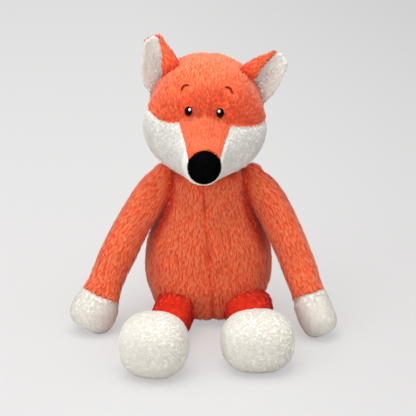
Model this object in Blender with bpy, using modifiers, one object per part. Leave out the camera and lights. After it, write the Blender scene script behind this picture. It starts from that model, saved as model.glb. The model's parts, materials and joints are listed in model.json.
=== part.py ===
"""A sitting plush fox, in metres with +Z up. It faces -Y and rests on Z = 0, so its own left side is +X."""

import math

import bmesh
import bpy
from mathutils import Matrix, Vector
from mathutils.bvhtree import BVHTree

X, Y, Z = Vector((1, 0, 0)), Vector((0, 1, 0)), Vector((0, 0, 1))
LEFT, RIGHT = 1, -1

# Cloth, gaps and cutters
WALL = 0.0025  # pile cloth and the filling pressed against it
VELVET_WALL = 0.0016
GAP = 0.0003  # between any two pieces that touch
SWING_GAP = 0.0007  # between a piece and what it swings or turns against
FLOOR_PRESS = 0.0005  # how far a rounded form is pressed flat where it rests
OVERRUN = 0.01  # how far a cutter runs past what it cuts

# Body
BODY_HEIGHT = 0.146
BODY_HALF_WIDTH = 0.0535
BODY_HALF_DEPTH = 0.046
BODY_SEAT_SQUARENESS = 2.9
BODY_SIDE_SHARES = (  # height, half width, half depth
    (0.135, 0.92, 0.93),
    (0.26, 1.0, 1.0),
    (0.46, 0.91, 0.93),
    (0.64, 0.78, 0.81),
    (0.78, 0.68, 0.71),
)
SEAM_LEAN = math.radians(4.5)  # the front seam runs down towards the toy's left
SEAM_TOP_OFFSET = 0.003
SIDE_SEAM_Y = -0.01
PELLET_BAG_TOP = 0.026

# Neck: a ball joint of cloth, so that the head slides on the top of the body
NECK_SEAT_RADIUS = 0.038
NECK_PIVOT = Z * (BODY_HEIGHT - NECK_SEAT_RADIUS)
NECK_SEAT_ANGLES = (math.radians(60), math.radians(42), math.radians(22))
NECK_PLUG_RADIUS = 0.013
NECK_PLUG_DEPTH = 0.028  # below the top of the body

# Head
HEAD_OFFSET = Vector((-0.002, -0.006, 0.0375))  # from the top of the body to the head's middle
HEAD_CENTRE = Z * BODY_HEIGHT + HEAD_OFFSET
HEAD_ROLL = math.radians(2.8)  # its left side lower
HEAD_YAW = math.radians(-1.1)
HEAD_HALF_WIDTH = 0.0515
HEAD_HALF_HEIGHT = 0.0475
SKULL_BACK = 0.05
MUZZLE_REACH = 0.076
MUZZLE_DROP = 0.0245
HEAD_SHARES = (  # reach, drop, half width, height above, depth below
    (-0.1, 0.03, 0.93, 0.95, 0.99),
    (0.16, 0.13, 0.92, 0.98, 1.03),
    (0.38, 0.28, 0.98, 0.84, 1.08),
    (0.58, 0.58, 0.8, 0.51, 0.8),
    (0.78, 0.8, 0.47, 0.32, 0.6),
)
MUZZLE_TIP_SHARE = 0.3  # half width of the muzzle where the nose covers its end
NOSE_RADIUS = 0.0134
NOSE_NECK_RADIUS = 0.006

# Face panels, as places on the head seen from the front: across and up from the head's centre
CHEEK_BACK = 0.004
CHEEK_EDGE_SHARES = (  # across / head half width, up / head half height, from the muzzle outwards
    (0.55, 0.03),
    (1.3, 0.03),
)
CHEEK_BOTTOM_SHARE = 1.4
BRIDGE_TOP_HALF_WIDTH = 0.0195
BRIDGE_TOP_RISE = 0.006
BRIDGE_TOP_UP = 0.0025
BRIDGE_FOOT_HALF_WIDTH = 0.012
BRIDGE_FOOT_UP = -0.024
EYE_HALF_WIDTH = 0.003
EYE_HALF_HEIGHT = 0.0038
EYE_HALF_DEPTH = 0.0019
FACE_OFFSET = -0.001  # the eyes and brows sit this far to the toy's right of the muzzle
EYE_ACROSS = 0.0128
EYE_UP = 0.012
GLINT_RADIUS = 0.0008
GLINT_IN = 0.0008  # towards the muzzle, from the eye's middle
GLINT_UP = 0.0017
BROW_RADIUS = 0.0006
BROW_ACROSS = 0.0185
BROW_UP = 0.029
BROW_HALF_LENGTH = 0.0042
BROW_ARCH = 0.0012
BROW_SLANT = math.radians(34)
BROW_SHARES = (-1, -0.6, 0, 0.6, 1)

# Ears: two cupped leaves one behind the other
EAR_BEHIND = 0.002  # the head's middle
EAR_LENGTH = 0.0325  # beyond the hinge line at its root
EAR_ROOT = 0.008  # behind that line, inside the head's outline
EAR_HALF_WIDTH = 0.0168
EAR_ROOT_SQUARENESS = 3
EAR_CUP = 0.008
EAR_BACK_HALF_WALL = 0.0018
EAR_LINING_HALF_WALL = 0.0012
EAR_LINING_SHARE = 0.84
EAR_SHARES = ((0.2, 1.0), (0.42, 0.96), (0.62, 0.78), (0.8, 0.52))  # of the whole length, of the half width
EAR_TIP_SHARE = 0.28  # half width at the start of the rounded tip
EAR_TURN = math.radians(14)  # the hollow faces this far outwards
EAR_SWING = math.radians(15)  # forward and back

# Arms
SHOULDER_Y = -0.003
ARM_LENGTH = 0.1266  # from the shoulder to the middle of the paw, which rests on the floor
ARM_RADIUS = 0.0145
PAW_RADIUS = 0.019
ARM_ROOT_RADIUS = 0.0122
ARM_SHARES = ((0.14, 0.91), (0.35, 0.95), (0.6, 1.0), (0.78, 0.98))  # of the way to the paw, of its radius
WRIST_SHARE = 0.86
BODY_SIDE_LEAN = math.radians(14.5)

# Legs
LEG_LENGTH = 0.0973  # from the hip to the middle of the foot
LEG_RADIUS = 0.0155
THIGH_HALF_WIDTH = 0.018
THIGH_HALF_HEIGHT = 0.0168
FOOT_RADIUS = 0.0272
FOOT_HALF_LENGTH = 0.0265
ANKLE_ANGLE = math.radians(33)  # on the foot's ball, from behind: where the leg meets it
LEG_SHARES = ((0.0, 1.0), (0.3, 0.6), (0.65, 0.0))  # of the way to the ankle, of the thigh's extra
FOOT_ANGLES = (math.radians(52), math.radians(72), math.radians(90))  # on the foot's ball, from behind
HIP_HEIGHT = 0.003
HIP_FORWARD_SHARE = 0.674  # of the body's half depth
LEG_SWINGS = [math.radians(angle) for angle in (0, 20, 40, 60, 80)]  # downwards: where its root is cleared

# Tail
TAIL_LENGTH = 0.112
TAIL_ROOT_HEIGHT = 0.016
TAIL_ROOT_HALF_WIDTH = 0.011
TAIL_ROOT_HALF_HEIGHT = 0.005
TAIL_RADIUS = 0.0195
TAIL_SHARES = ((0.2, 0.3), (0.42, 0.8), (0.62, 1.0), (0.8, 0.8))  # of its length, of the extra girth
TAIL_TIP_SHARE = 0.7
TAIL_SWING_UP = math.radians(45)
TAIL_SWING_DOWN = math.radians(40)

# How finely the forms are drawn
END_ANGLES = (0, math.radians(22), math.radians(45), math.radians(67))
BODY_SEGMENTS, BODY_RINGS = 22, 13
HEAD_SEGMENTS, HEAD_RINGS = 20, 15
LIMB_SEGMENTS, LIMB_RINGS, LEG_RINGS = 12, 10, 12
EAR_SEGMENTS, EAR_RINGS = 12, 8
BALL_SEGMENTS, BALL_RINGS = 14, 9
SMALL_SEGMENTS, SMALL_RINGS = 10, 6
BROW_SEGMENTS, BROW_RINGS = 6, 8

# What differs from side to side in the photographed pose
SIDES = {
    LEFT: {
        "name": "left",
        "shoulder_height_share": 0.83,  # of the body's height
        "arm_turn": math.radians(41.8),  # forwards from straight out
        "arm_bow_share": 0.31,  # of the arm's radius
        "paw_width_share": 0.8,  # of its height
        "hip_across_share": 0.607,  # of the body's half width
        "leg_reach_share": 0.877,  # of its length
        "leg_turn": math.radians(4.7),  # outwards from straight ahead
        "foot_height_share": 0.9,  # of its width
        "ear_place": math.radians(56.6),  # round the head from straight up
        "ear_base_lean": math.radians(51),
        "ear_lean": math.radians(49),
    },
    RIGHT: {
        "name": "right",
        "shoulder_height_share": 0.835,
        "arm_turn": math.radians(33),
        "arm_bow_share": 0.38,
        "paw_width_share": 1.01,
        "hip_across_share": 0.505,
        "leg_reach_share": 1.0,
        "leg_turn": math.radians(9.5),
        "foot_height_share": 0.974,
        "ear_place": math.radians(-45.2),
        "ear_base_lean": math.radians(-42),
        "ear_lean": math.radians(-18),
    },
}


def clear_scene():
    for thing in list(bpy.data.objects):
        bpy.data.objects.remove(thing, do_unlink=True)


def new_collection(name):
    found = bpy.data.collections.new(name)
    bpy.context.scene.collection.children.link(found)
    return found


def new_material(name, colour, roughness):
    material = bpy.data.materials.new(name)
    material.use_nodes = True
    shader = material.node_tree.nodes["Principled BSDF"]
    shader.inputs["Base Color"].default_value = (*colour, 1)
    shader.inputs["Roughness"].default_value = roughness
    shader.inputs["Metallic"].default_value = 0
    return material


def finished(solid, name):
    mesh = bpy.data.meshes.new(name)
    solid.to_mesh(mesh)
    solid.free()
    return mesh


def stations_along(stations, share):
    """The station at this share of the way, on a smooth curve through them all."""
    ways = [0.0]
    for before, after in zip(stations, stations[1:]):
        ways.append(ways[-1] + (after - before).length)
    at = min(max(share, 0.0), 1.0) * ways[-1]
    k = max(i for i in range(len(ways) - 1) if ways[i] <= at)

    def slope(i):
        low, high = max(i - 1, 0), min(i + 1, len(stations) - 1)
        return (stations[high] - stations[low]) / (ways[high] - ways[low])

    step = ways[k + 1] - ways[k]
    t = (at - ways[k]) / step
    start = (2 * t**3 - 3 * t**2 + 1) * stations[k] + (t**3 - 2 * t**2 + t) * step * slope(k)
    end = (3 * t**2 - 2 * t**3) * stations[k + 1] + (t**3 - t**2) * step * slope(k + 1)
    return start + end


def station(place, half_width, above, below=None):
    """A place on a form's middle line with its girth there."""
    return Vector((*place, half_width, above, above if below is None else below))


def round_end(girth, out, reach, squareness=2.0):
    """Stations from a rounded end's tip up to, but without, the girth station that it closes."""
    place, sizes = girth.xyz, girth[3:]
    found = []
    for angle in END_ANGLES:
        swell = math.sin(angle) ** (2 / squareness)
        way = math.cos(angle) ** (2 / squareness)
        found.append(Vector((*(place + out * reach * way), *(size * swell for size in sizes))))
    return found


def form_mesh(name, stations, side, segments, rings):
    """A sphere moved onto the stations, poles on the first and last, flat-faced so that copies nest."""
    nudge = 0.5 / rings
    solid = bmesh.new()
    bmesh.ops.create_uvsphere(solid, u_segments=segments, v_segments=rings, radius=1)
    for vertex in solid.verts:
        share = math.acos(max(-1.0, min(1.0, vertex.co.z))) / math.pi
        here = stations_along(stations, share)
        ahead = stations_along(stations, share + nudge).xyz - stations_along(stations, share - nudge).xyz
        ahead.normalize()
        across = (side - ahead * side.dot(ahead)).normalized()
        up = ahead.cross(across)
        around = math.atan2(vertex.co.y, vertex.co.x)
        pole = min(share, 1 - share) < nudge / 2
        girth = Vector((0, 0)) if pole else Vector((math.cos(around), math.sin(around)))
        rise = here[4] if girth.y > 0 else here[5]
        vertex.co = here.xyz + across * here[3] * girth.x + up * rise * girth.y
    bmesh.ops.triangulate(solid, faces=solid.faces)
    if solid.calc_volume(signed=True) < 0:
        bmesh.ops.reverse_faces(solid, faces=solid.faces)
    return finished(solid, name)


def grown(mesh, distance, name):
    """A copy of a closed mesh, moved out by this distance, or in if it is negative."""
    copy = mesh.copy()
    copy.name = name
    places = [vertex.co + vertex.normal * distance for vertex in mesh.vertices]
    for vertex, place in zip(copy.vertices, places):
        vertex.co = place
    return copy


def ball_mesh(name, centre, radius, segments=BALL_SEGMENTS, rings=BALL_RINGS):
    solid = bmesh.new()
    place = Matrix.Translation(centre)
    bmesh.ops.create_uvsphere(solid, u_segments=segments, v_segments=rings, radius=radius, matrix=place)
    return finished(solid, name)


def box_mesh(name, low, high):
    solid = bmesh.new()
    size = high - low
    place = Matrix.Translation((low + high) / 2) @ Matrix.Diagonal((*size, 1))
    bmesh.ops.create_cube(solid, size=1, matrix=place)
    return finished(solid, name)


def prism_mesh(name, outline, front, back):
    """A flat outline in X and Z, anticlockwise as seen from the front, run from front to back along Y."""
    solid = bmesh.new()
    corners = [solid.verts.new((across, front, up)) for across, up in outline]
    face = solid.faces.new(corners)
    run = bmesh.ops.extrude_face_region(solid, geom=[face])
    moved = [part for part in run["geom"] if isinstance(part, bmesh.types.BMVert)]
    bmesh.ops.translate(solid, verts=moved, vec=Y * (back - front))
    bmesh.ops.recalc_face_normals(solid, faces=solid.faces)
    return finished(solid, name)


def offset_outline(outline, distance):
    """The outline with each edge moved out by this distance. It is listed anticlockwise."""
    found = []
    count = len(outline)
    for i in range(count):
        before, here, after = (Vector(outline[(i + k) % count]) for k in (-1, 0, 1))
        first, second = (here - before).normalized(), (after - here).normalized()
        out_first, out_second = Vector((first.y, -first.x)), Vector((second.y, -second.x))
        middle = (out_first + out_second).normalized()
        found.append(here + middle * (distance / middle.dot(out_first)))
    return found


def cylinder_mesh(name, low, high, radius, segments):
    solid = bmesh.new()
    run = high - low
    turn = run.to_track_quat("Z", "Y").to_matrix().to_4x4()
    place = Matrix.Translation((low + high) / 2) @ turn
    bmesh.ops.create_cone(
        solid,
        cap_ends=True,
        segments=segments,
        radius1=radius,
        radius2=radius,
        depth=run.length,
        matrix=place,
    )
    return finished(solid, name)


class Fox:
    """Holds the two collections, the joint empties and the materials, and places each piece."""

    def __init__(self):
        self.parts = new_collection("plush_fox")
        self.cutters = new_collection("cutters")
        self.cutters.hide_render = True
        self.joints = {}

    def joint(self, name, place, parent=None):
        empty = bpy.data.objects.new(name, None)
        empty.empty_display_size = GAP
        self.parts.objects.link(empty)
        self.joints[name] = (empty, place)
        if parent:
            empty.parent = self.joints[parent][0]
            empty.location = place - self.joints[parent][1]
        else:
            empty.location = place

    def piece(self, name, mesh, material, joint):
        """The mesh, given in world places, as an object whose origin is its joint's."""
        empty, pivot = self.joints[joint]
        mesh = mesh.copy()
        mesh.name = name
        mesh.transform(Matrix.Translation(-pivot))
        mesh.polygons.foreach_set("use_smooth", [True] * len(mesh.polygons))
        mesh.materials.clear()
        mesh.materials.append(material)
        thing = bpy.data.objects.new(name, mesh)
        thing.parent = empty
        self.parts.objects.link(thing)
        return thing

    def cutter(self, name, mesh, turn=None):
        thing = bpy.data.objects.new(name, mesh)
        thing.display_type = "WIRE"
        thing.hide_render = True
        if turn:
            thing.matrix_world = turn
        self.cutters.objects.link(thing)
        return thing

    def turned(self, name, mesh, pivot, axis, angles):
        """Copies of a mesh where it stands, as seen by a piece that has swung by these angles."""
        found = []
        for i, angle in enumerate(angles):
            place = Matrix.Translation(pivot) @ Matrix.Rotation(-angle, 4, axis) @ Matrix.Translation(-pivot)
            found.append(self.cutter(f"{name}_{i}", mesh, place))
        return found


def shell(thing, wall):
    solidify = thing.modifiers.new("cloth", "SOLIDIFY")
    solidify.thickness = wall
    solidify.offset = -1
    solidify.use_even_offset = False


def boolean(thing, cutter, operation):
    cut = thing.modifiers.new(cutter.name, "BOOLEAN")
    cut.solver = "EXACT"
    cut.operation = operation
    cut.object = cutter


def cut_away(thing, *cutters):
    for cutter in cutters:
        boolean(thing, cutter, "DIFFERENCE")


def keep_inside(thing, *regions):
    for region in regions:
        boolean(thing, region, "INTERSECT")


def half_space(fox, name, place, out):
    """A block whose flat face goes through place, filling the side that out points to."""
    span = BODY_HEIGHT * 2
    mesh = box_mesh(name, Vector((-span, -span, 0)), Vector((span, span, span)))
    mesh.transform(Matrix.Translation(place) @ out.to_track_quat("Z", "Y").to_matrix().to_4x4())
    return fox.cutter(name, mesh)


def seated(place, out, mesh, way=None):
    """The place moved along a way, or along out, to the plane across out that just clears the whole mesh."""
    way = way or out
    reach = max(vertex.co.dot(out) for vertex in mesh.vertices)
    return place + way * ((reach + GAP - place.dot(out)) / way.dot(out))


def face_out(mesh, place, way):
    """Which way the face of a mesh points that a line through place, running against way, meets first."""
    solid = bmesh.new()
    solid.from_mesh(mesh)
    _, normal, _, _ = BVHTree.FromBMesh(solid).ray_cast(place + way * BODY_HEIGHT, -way)
    solid.free()
    return normal


def seat_planes(fox, name, hinge, out, axis, angles):
    """Blocks on the seat's side of planes through the hinge, for each angle that the piece swings to."""
    return [
        half_space(fox, f"{name}_seat_{i}", hinge, -(Matrix.Rotation(-angle, 3, axis) @ out))
        for i, angle in enumerate(angles)
    ]


def body_stations():
    sides = [
        station(Z * BODY_HEIGHT * height, BODY_HALF_WIDTH * width, BODY_HALF_DEPTH * depth)
        for height, width, depth in BODY_SIDE_SHARES
    ]
    neck = [
        station(
            NECK_PIVOT + Z * NECK_SEAT_RADIUS * math.cos(angle),
            NECK_SEAT_RADIUS * math.sin(angle),
            NECK_SEAT_RADIUS * math.sin(angle),
        )
        for angle in (*NECK_SEAT_ANGLES, 0)
    ]
    seat = round_end(sides[0], -Z, sides[0].z + FLOOR_PRESS, BODY_SEAT_SQUARENESS)
    return seat + sides + neck


def make_body(fox, materials, outline, floor):
    neck_hole = fox.cutter(
        "neck_hole",
        cylinder_mesh(
            "neck_hole",
            Z * (BODY_HEIGHT - NECK_PLUG_DEPTH - GAP),
            Z * (BODY_HEIGHT + OVERRUN),
            NECK_PLUG_RADIUS + GAP,
            BODY_SEGMENTS,
        ),
    )
    across = Matrix.Rotation(-SEAM_LEAN, 3, Y) @ X
    seam = Vector((-SEAM_TOP_OFFSET, 0, NECK_PIVOT.z))
    halves = {
        LEFT: half_space(fox, "front_left_side", seam + across * GAP / 2, across),
        RIGHT: half_space(fox, "front_right_side", seam - across * GAP / 2, -across),
    }
    front = half_space(fox, "body_front", Y * (SIDE_SEAM_Y - GAP / 2), -Y)
    back = half_space(fox, "body_rear", Y * (SIDE_SEAM_Y + GAP / 2), Y)
    for side, half in halves.items():
        panel = fox.piece(f"body_front_{SIDES[side]['name']}", outline, materials["orange_plush"], "torso")
        shell(panel, WALL)
        keep_inside(panel, front, half)
        cut_away(panel, neck_hole, floor)
    panel = fox.piece("body_back", outline, materials["orange_plush"], "torso")
    shell(panel, WALL)
    keep_inside(panel, back)
    cut_away(panel, neck_hole, floor)

    inside = grown(outline, -WALL - GAP, "body_inside")
    filling = fox.piece("body_stuffing", inside, materials["stuffing"], "torso")
    keep_inside(filling, half_space(fox, "above_pellets", Z * (PELLET_BAG_TOP + GAP), Z))
    cut_away(filling, neck_hole)
    bag = fox.piece("seat_pellet_bag", inside, materials["pellet_cloth"], "torso")
    keep_inside(bag, half_space(fox, "below_pellet_top", Z * PELLET_BAG_TOP, -Z))
    cut_away(bag, half_space(fox, "seat_cloth", Z * (WALL + GAP), -Z))


def make_neck(fox, materials):
    low, high = Z * (BODY_HEIGHT - NECK_PLUG_DEPTH), Z * (BODY_HEIGHT + OVERRUN)
    plug = cylinder_mesh("neck_plug", low, high, NECK_PLUG_RADIUS, BODY_SEGMENTS)
    thing = fox.piece("neck_stuffing", plug, materials["stuffing"], "neck")
    dome = ball_mesh("neck_dome", NECK_PIVOT, NECK_SEAT_RADIUS, BODY_SEGMENTS, BODY_RINGS)
    keep_inside(thing, fox.cutter("neck_dome", dome))


def head_turn():
    """From places about the head's own centre, with its muzzle along -Y, to places in the world."""
    turn = Matrix.Rotation(HEAD_YAW, 4, Z) @ Matrix.Rotation(HEAD_ROLL, 4, Y)
    return Matrix.Translation(HEAD_CENTRE) @ turn


def head_stations():
    middles = [
        station(
            Vector((0, -MUZZLE_REACH * reach, -MUZZLE_DROP * drop)),
            HEAD_HALF_WIDTH * width,
            HEAD_HALF_HEIGHT * above,
            HEAD_HALF_HEIGHT * below,
        )
        for reach, drop, width, above, below in HEAD_SHARES
    ]
    back = round_end(middles[0], Y, SKULL_BACK - middles[0].y)
    tip = station(
        Vector((0, -MUZZLE_REACH, -MUZZLE_DROP)),
        HEAD_HALF_WIDTH * MUZZLE_TIP_SHARE,
        HEAD_HALF_WIDTH * MUZZLE_TIP_SHARE,
    )
    front = round_end(tip, -Y, NOSE_RADIUS / 2)
    return back + middles + [tip] + front[::-1]


def skin_point(tree, across, up):
    """Where a line from the front, this far across and up, meets the skin, and the skin's normal there."""
    place, normal, _, _ = tree.ray_cast(Vector((across, -MUZZLE_REACH * 2, up)), Y)
    return place, normal


def on_skin(place, normal):
    """From an upright piece facing -Y at the origin to its place on the skin."""
    across = (-normal).cross(Z).normalized()
    up = across.cross(-normal)
    turn = Matrix((across, -normal, up)).transposed().to_4x4()
    return Matrix.Translation(place) @ turn


def face_outlines():
    """As seen from the front: the cheeks and bridge as one, each side's half of that, and the bridge."""
    foot = -HEAD_HALF_HEIGHT * CHEEK_BOTTOM_SHARE
    left = [(HEAD_HALF_WIDTH * across, HEAD_HALF_HEIGHT * up) for across, up in CHEEK_EDGE_SHARES]
    left.insert(0, (BRIDGE_TOP_HALF_WIDTH, BRIDGE_TOP_UP))
    right = [(-across, up) for across, up in left]
    top = (0, BRIDGE_TOP_UP + BRIDGE_TOP_RISE)
    face = [(right[-1][0], foot), (left[-1][0], foot), *left[::-1], top, *right]
    halves = {
        LEFT: [(0, foot), (left[-1][0], foot), *left[::-1], top],
        RIGHT: [(0, foot), top, *right, (right[-1][0], foot)],
    }
    feet = [(-BRIDGE_FOOT_HALF_WIDTH, BRIDGE_FOOT_UP), (BRIDGE_FOOT_HALF_WIDTH, BRIDGE_FOOT_UP)]
    return face, halves, [*feet, left[0], top, right[0]]


def face_prism(name, outline, margin, back):
    front = -MUZZLE_REACH - NOSE_RADIUS - OVERRUN
    mesh = prism_mesh(name, offset_outline(outline, margin), front, back)
    mesh.transform(head_turn())
    return mesh


def make_head(fox, materials, skin, outline):
    normals = bmesh.new()
    normals.from_mesh(skin)
    tree = BVHTree.FromBMesh(normals)
    normals.free()
    turn = head_turn()
    nose_place = Vector((0, -MUZZLE_REACH, -MUZZLE_DROP))

    seat = ball_mesh("neck_seat", NECK_PIVOT, NECK_SEAT_RADIUS + SWING_GAP, HEAD_SEGMENTS, HEAD_RINGS)
    neck_seat = fox.cutter("neck_seat", seat)
    nose_room = ball_mesh("nose_room", turn @ nose_place, NOSE_RADIUS + GAP)
    nose_room = fox.cutter("nose_room", nose_room)
    face, halves, bridge = face_outlines()
    face_room = fox.cutter("face_room", face_prism("face_room", face, GAP / 2, CHEEK_BACK + GAP / 2))
    bridge_room = fox.cutter("bridge_room", face_prism("bridge_room", bridge, GAP / 2, CHEEK_BACK))
    bridge_region = fox.cutter("bridge_region", face_prism("bridge_region", bridge, -GAP / 2, -CHEEK_BACK))
    across = turn.to_3x3() @ X

    for side in SIDES:
        half_name = SIDES[side]["name"]
        middle = turn.translation + across * side * GAP / 2
        half = half_space(fox, f"head_{half_name}_half", middle, across * side)
        eye, brow = make_eye(fox, materials, tree, side), make_brow(fox, materials, tree, side)
        crown = fox.piece(f"head_crown_{half_name}", outline, materials["orange_plush"], "head")
        shell(crown, WALL)
        keep_inside(crown, half)
        cut_away(crown, face_room, neck_seat, eye, brow)
        cheek = fox.piece(f"cheek_{half_name}", outline, materials["cream_plush"], "head")
        shell(cheek, WALL)
        region = f"cheek_{half_name}_region"
        prism = face_prism(region, halves[side], -GAP / 2, CHEEK_BACK - GAP / 2)
        keep_inside(cheek, fox.cutter(region, prism))
        cut_away(cheek, bridge_room, neck_seat, nose_room)
    piece = fox.piece("muzzle_bridge", outline, materials["light_orange_plush"], "head")
    shell(piece, WALL)
    keep_inside(piece, bridge_region)
    cut_away(piece, nose_room)
    inside = grown(outline, -WALL - GAP, "head_inside")
    filling = fox.piece("head_stuffing", inside, materials["stuffing"], "head")
    cut_away(filling, neck_seat, nose_room)
    make_nose(fox, materials, turn, nose_place)


def make_nose(fox, materials, turn, place):
    centre = turn @ place
    cover = fox.piece("nose_cover", ball_mesh("nose", centre, NOSE_RADIUS), materials["black_velvet"], "head")
    shell(cover, VELVET_WALL)
    behind = turn @ (place + Y * NOSE_RADIUS * 2)
    mouth = cylinder_mesh("nose_mouth", centre, behind, NOSE_NECK_RADIUS, BALL_SEGMENTS)
    cut_away(cover, fox.cutter("nose_mouth", mouth))
    inside = ball_mesh("nose_inside", centre, NOSE_RADIUS - VELVET_WALL - GAP)
    fox.piece("nose_stuffing", inside, materials["stuffing"], "head")


def make_eye(fox, materials, tree, side):
    """The eye and its highlight. Returns the cutter that makes room for the eye."""
    name = SIDES[side]["name"]
    place, normal = skin_point(tree, FACE_OFFSET + EYE_ACROSS * side, EYE_UP)
    seat = head_turn() @ on_skin(place, normal)
    form = ball_mesh("eye", Vector((0, 0, 0)), 1, SMALL_SEGMENTS, BALL_RINGS)
    form.transform(seat @ Matrix.Diagonal((EYE_HALF_WIDTH, EYE_HALF_DEPTH, EYE_HALF_HEIGHT, 1)))
    eye = fox.piece(f"eye_{name}", form, materials["eye_thread"], "head")
    in_share, up_share = GLINT_IN / EYE_HALF_WIDTH, GLINT_UP / EYE_HALF_HEIGHT
    bulge = EYE_HALF_DEPTH * math.sqrt(1 - in_share**2 - up_share**2)
    spot = seat @ Vector((-side * GLINT_IN, -bulge, GLINT_UP))
    glint = ball_mesh("glint", spot, GLINT_RADIUS, SMALL_SEGMENTS, SMALL_RINGS)
    fox.piece(f"eye_glint_{name}", glint, materials["white_thread"], "head")
    room = ball_mesh(f"glint_room_{name}", spot, GLINT_RADIUS + GAP, SMALL_SEGMENTS, SMALL_RINGS)
    cut_away(eye, fox.cutter(f"glint_room_{name}", room))
    return fox.cutter(f"eye_room_{name}", grown(form, GAP, f"eye_room_{name}"))


def make_brow(fox, materials, tree, side):
    """The brow, a thin stitched line. Returns the cutter that makes room for it."""
    name = SIDES[side]["name"]
    line = []
    for share in BROW_SHARES:
        run = BROW_HALF_LENGTH * share
        rise = BROW_ARCH * (1 - share**2)
        outwards = BROW_ACROSS + run * math.cos(BROW_SLANT) + rise * math.sin(BROW_SLANT)
        up = BROW_UP - run * math.sin(BROW_SLANT) + rise * math.cos(BROW_SLANT)
        place, _ = skin_point(tree, FACE_OFFSET + outwards * side, up)
        line.append(station(place, BROW_RADIUS, BROW_RADIUS))
    start = round_end(line[0], (line[0].xyz - line[1].xyz).normalized(), BROW_RADIUS)
    end = round_end(line[-1], (line[-1].xyz - line[-2].xyz).normalized(), BROW_RADIUS)
    form = form_mesh("brow", start + line + end[::-1], Z, BROW_SEGMENTS, BROW_RINGS)
    form.transform(head_turn())
    fox.piece(f"brow_{name}", form, materials["brow_thread"], "head")
    return fox.cutter(f"brow_room_{name}", grown(form, GAP, f"brow_room_{name}"))


def ear_leaf(name, share, half_wall, forward):
    """A leaf standing on the hinge line at the origin, its hollow to the front."""
    whole = EAR_ROOT + EAR_LENGTH
    line = [
        station(Z * (whole * way - EAR_ROOT), EAR_HALF_WIDTH * width * share, half_wall)
        for way, width in EAR_SHARES
    ]
    root = round_end(line[0], -Z, line[0].z + EAR_ROOT, EAR_ROOT_SQUARENESS)
    tip_way = EAR_LENGTH - EAR_HALF_WIDTH * EAR_TIP_SHARE - EAR_HALF_WIDTH * (1 - share)
    line.append(station(Z * tip_way, EAR_HALF_WIDTH * EAR_TIP_SHARE, half_wall))
    tip = round_end(line[-1], Z, EAR_HALF_WIDTH * EAR_TIP_SHARE)
    mesh = form_mesh(name, root + line + tip[::-1], X, EAR_SEGMENTS, EAR_RINGS)
    for vertex in mesh.vertices:
        vertex.co.y -= EAR_CUP * (vertex.co.x / EAR_HALF_WIDTH) ** 2 + forward
    return mesh


def ear_base(side):
    """Which way the head faces at the ear's root, and the hinge line across it."""
    turn = Matrix.Rotation(SIDES[side]["ear_base_lean"], 3, Y)
    return turn @ Z, turn @ X


def make_ear(fox, materials, side):
    name, lean = SIDES[side]["name"], SIDES[side]["ear_lean"]
    hinge = fox.joints[f"ear_{name}"][1]
    out, axis = ear_base(side)
    seats = seat_planes(fox, f"ear_{name}", hinge, out, axis, (-EAR_SWING, EAR_SWING))
    stand = Matrix.Translation(hinge) @ Matrix.Rotation(lean, 4, Y) @ Matrix.Rotation(EAR_TURN * side, 4, Z)
    forward = EAR_BACK_HALF_WALL + GAP + EAR_LINING_HALF_WALL
    leaves = (
        ("back", "orange_plush", ear_leaf("ear_back", 1, EAR_BACK_HALF_WALL, 0)),
        ("lining", "cream_plush", ear_leaf("ear_lining", EAR_LINING_SHARE, EAR_LINING_HALF_WALL, forward)),
    )
    for leaf, material, mesh in leaves:
        mesh.transform(stand)
        cut_away(fox.piece(f"ear_{name}_{leaf}", mesh, materials[material], f"ear_{name}"), *seats)


def limb(fox, materials, names, joint, mesh, rooms, floor, seam, out):
    """A cover in two pieces that meet at a seam across the limb, and its filling. Rooms clear its root."""
    near_name, far_name, filling_name = names
    near = fox.piece(near_name, mesh, materials["orange_plush"], joint)
    far = fox.piece(far_name, mesh, materials["cream_plush"], joint)
    for cover in (near, far):
        shell(cover, WALL)
        cut_away(cover, floor)
    keep_inside(near, half_space(fox, f"{near_name}_end", seam - out * GAP / 2, -out))
    keep_inside(far, half_space(fox, f"{far_name}_start", seam + out * GAP / 2, out))
    filling = fox.piece(filling_name, grown(mesh, -WALL - GAP, filling_name), materials["stuffing"], joint)
    cut_away(near, *rooms)
    cut_away(filling, *rooms)


def arm_seat(side):
    """Which way the body's side faces at the shoulder. The arm swings about this line, so it stays clear."""
    return Vector((math.cos(BODY_SIDE_LEAN) * side, 0, math.sin(BODY_SIDE_LEAN)))


def paw_place(side, shoulder):
    """Where the paw's middle rests, an arm's length from the shoulder."""
    drop = min(shoulder.z - PAW_RADIUS + FLOOR_PRESS, ARM_LENGTH)
    reach = math.sqrt(ARM_LENGTH**2 - drop**2)
    turn = SIDES[side]["arm_turn"]
    return shoulder + (X * side * math.cos(turn) - Y * math.sin(turn)) * reach - Z * drop


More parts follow.
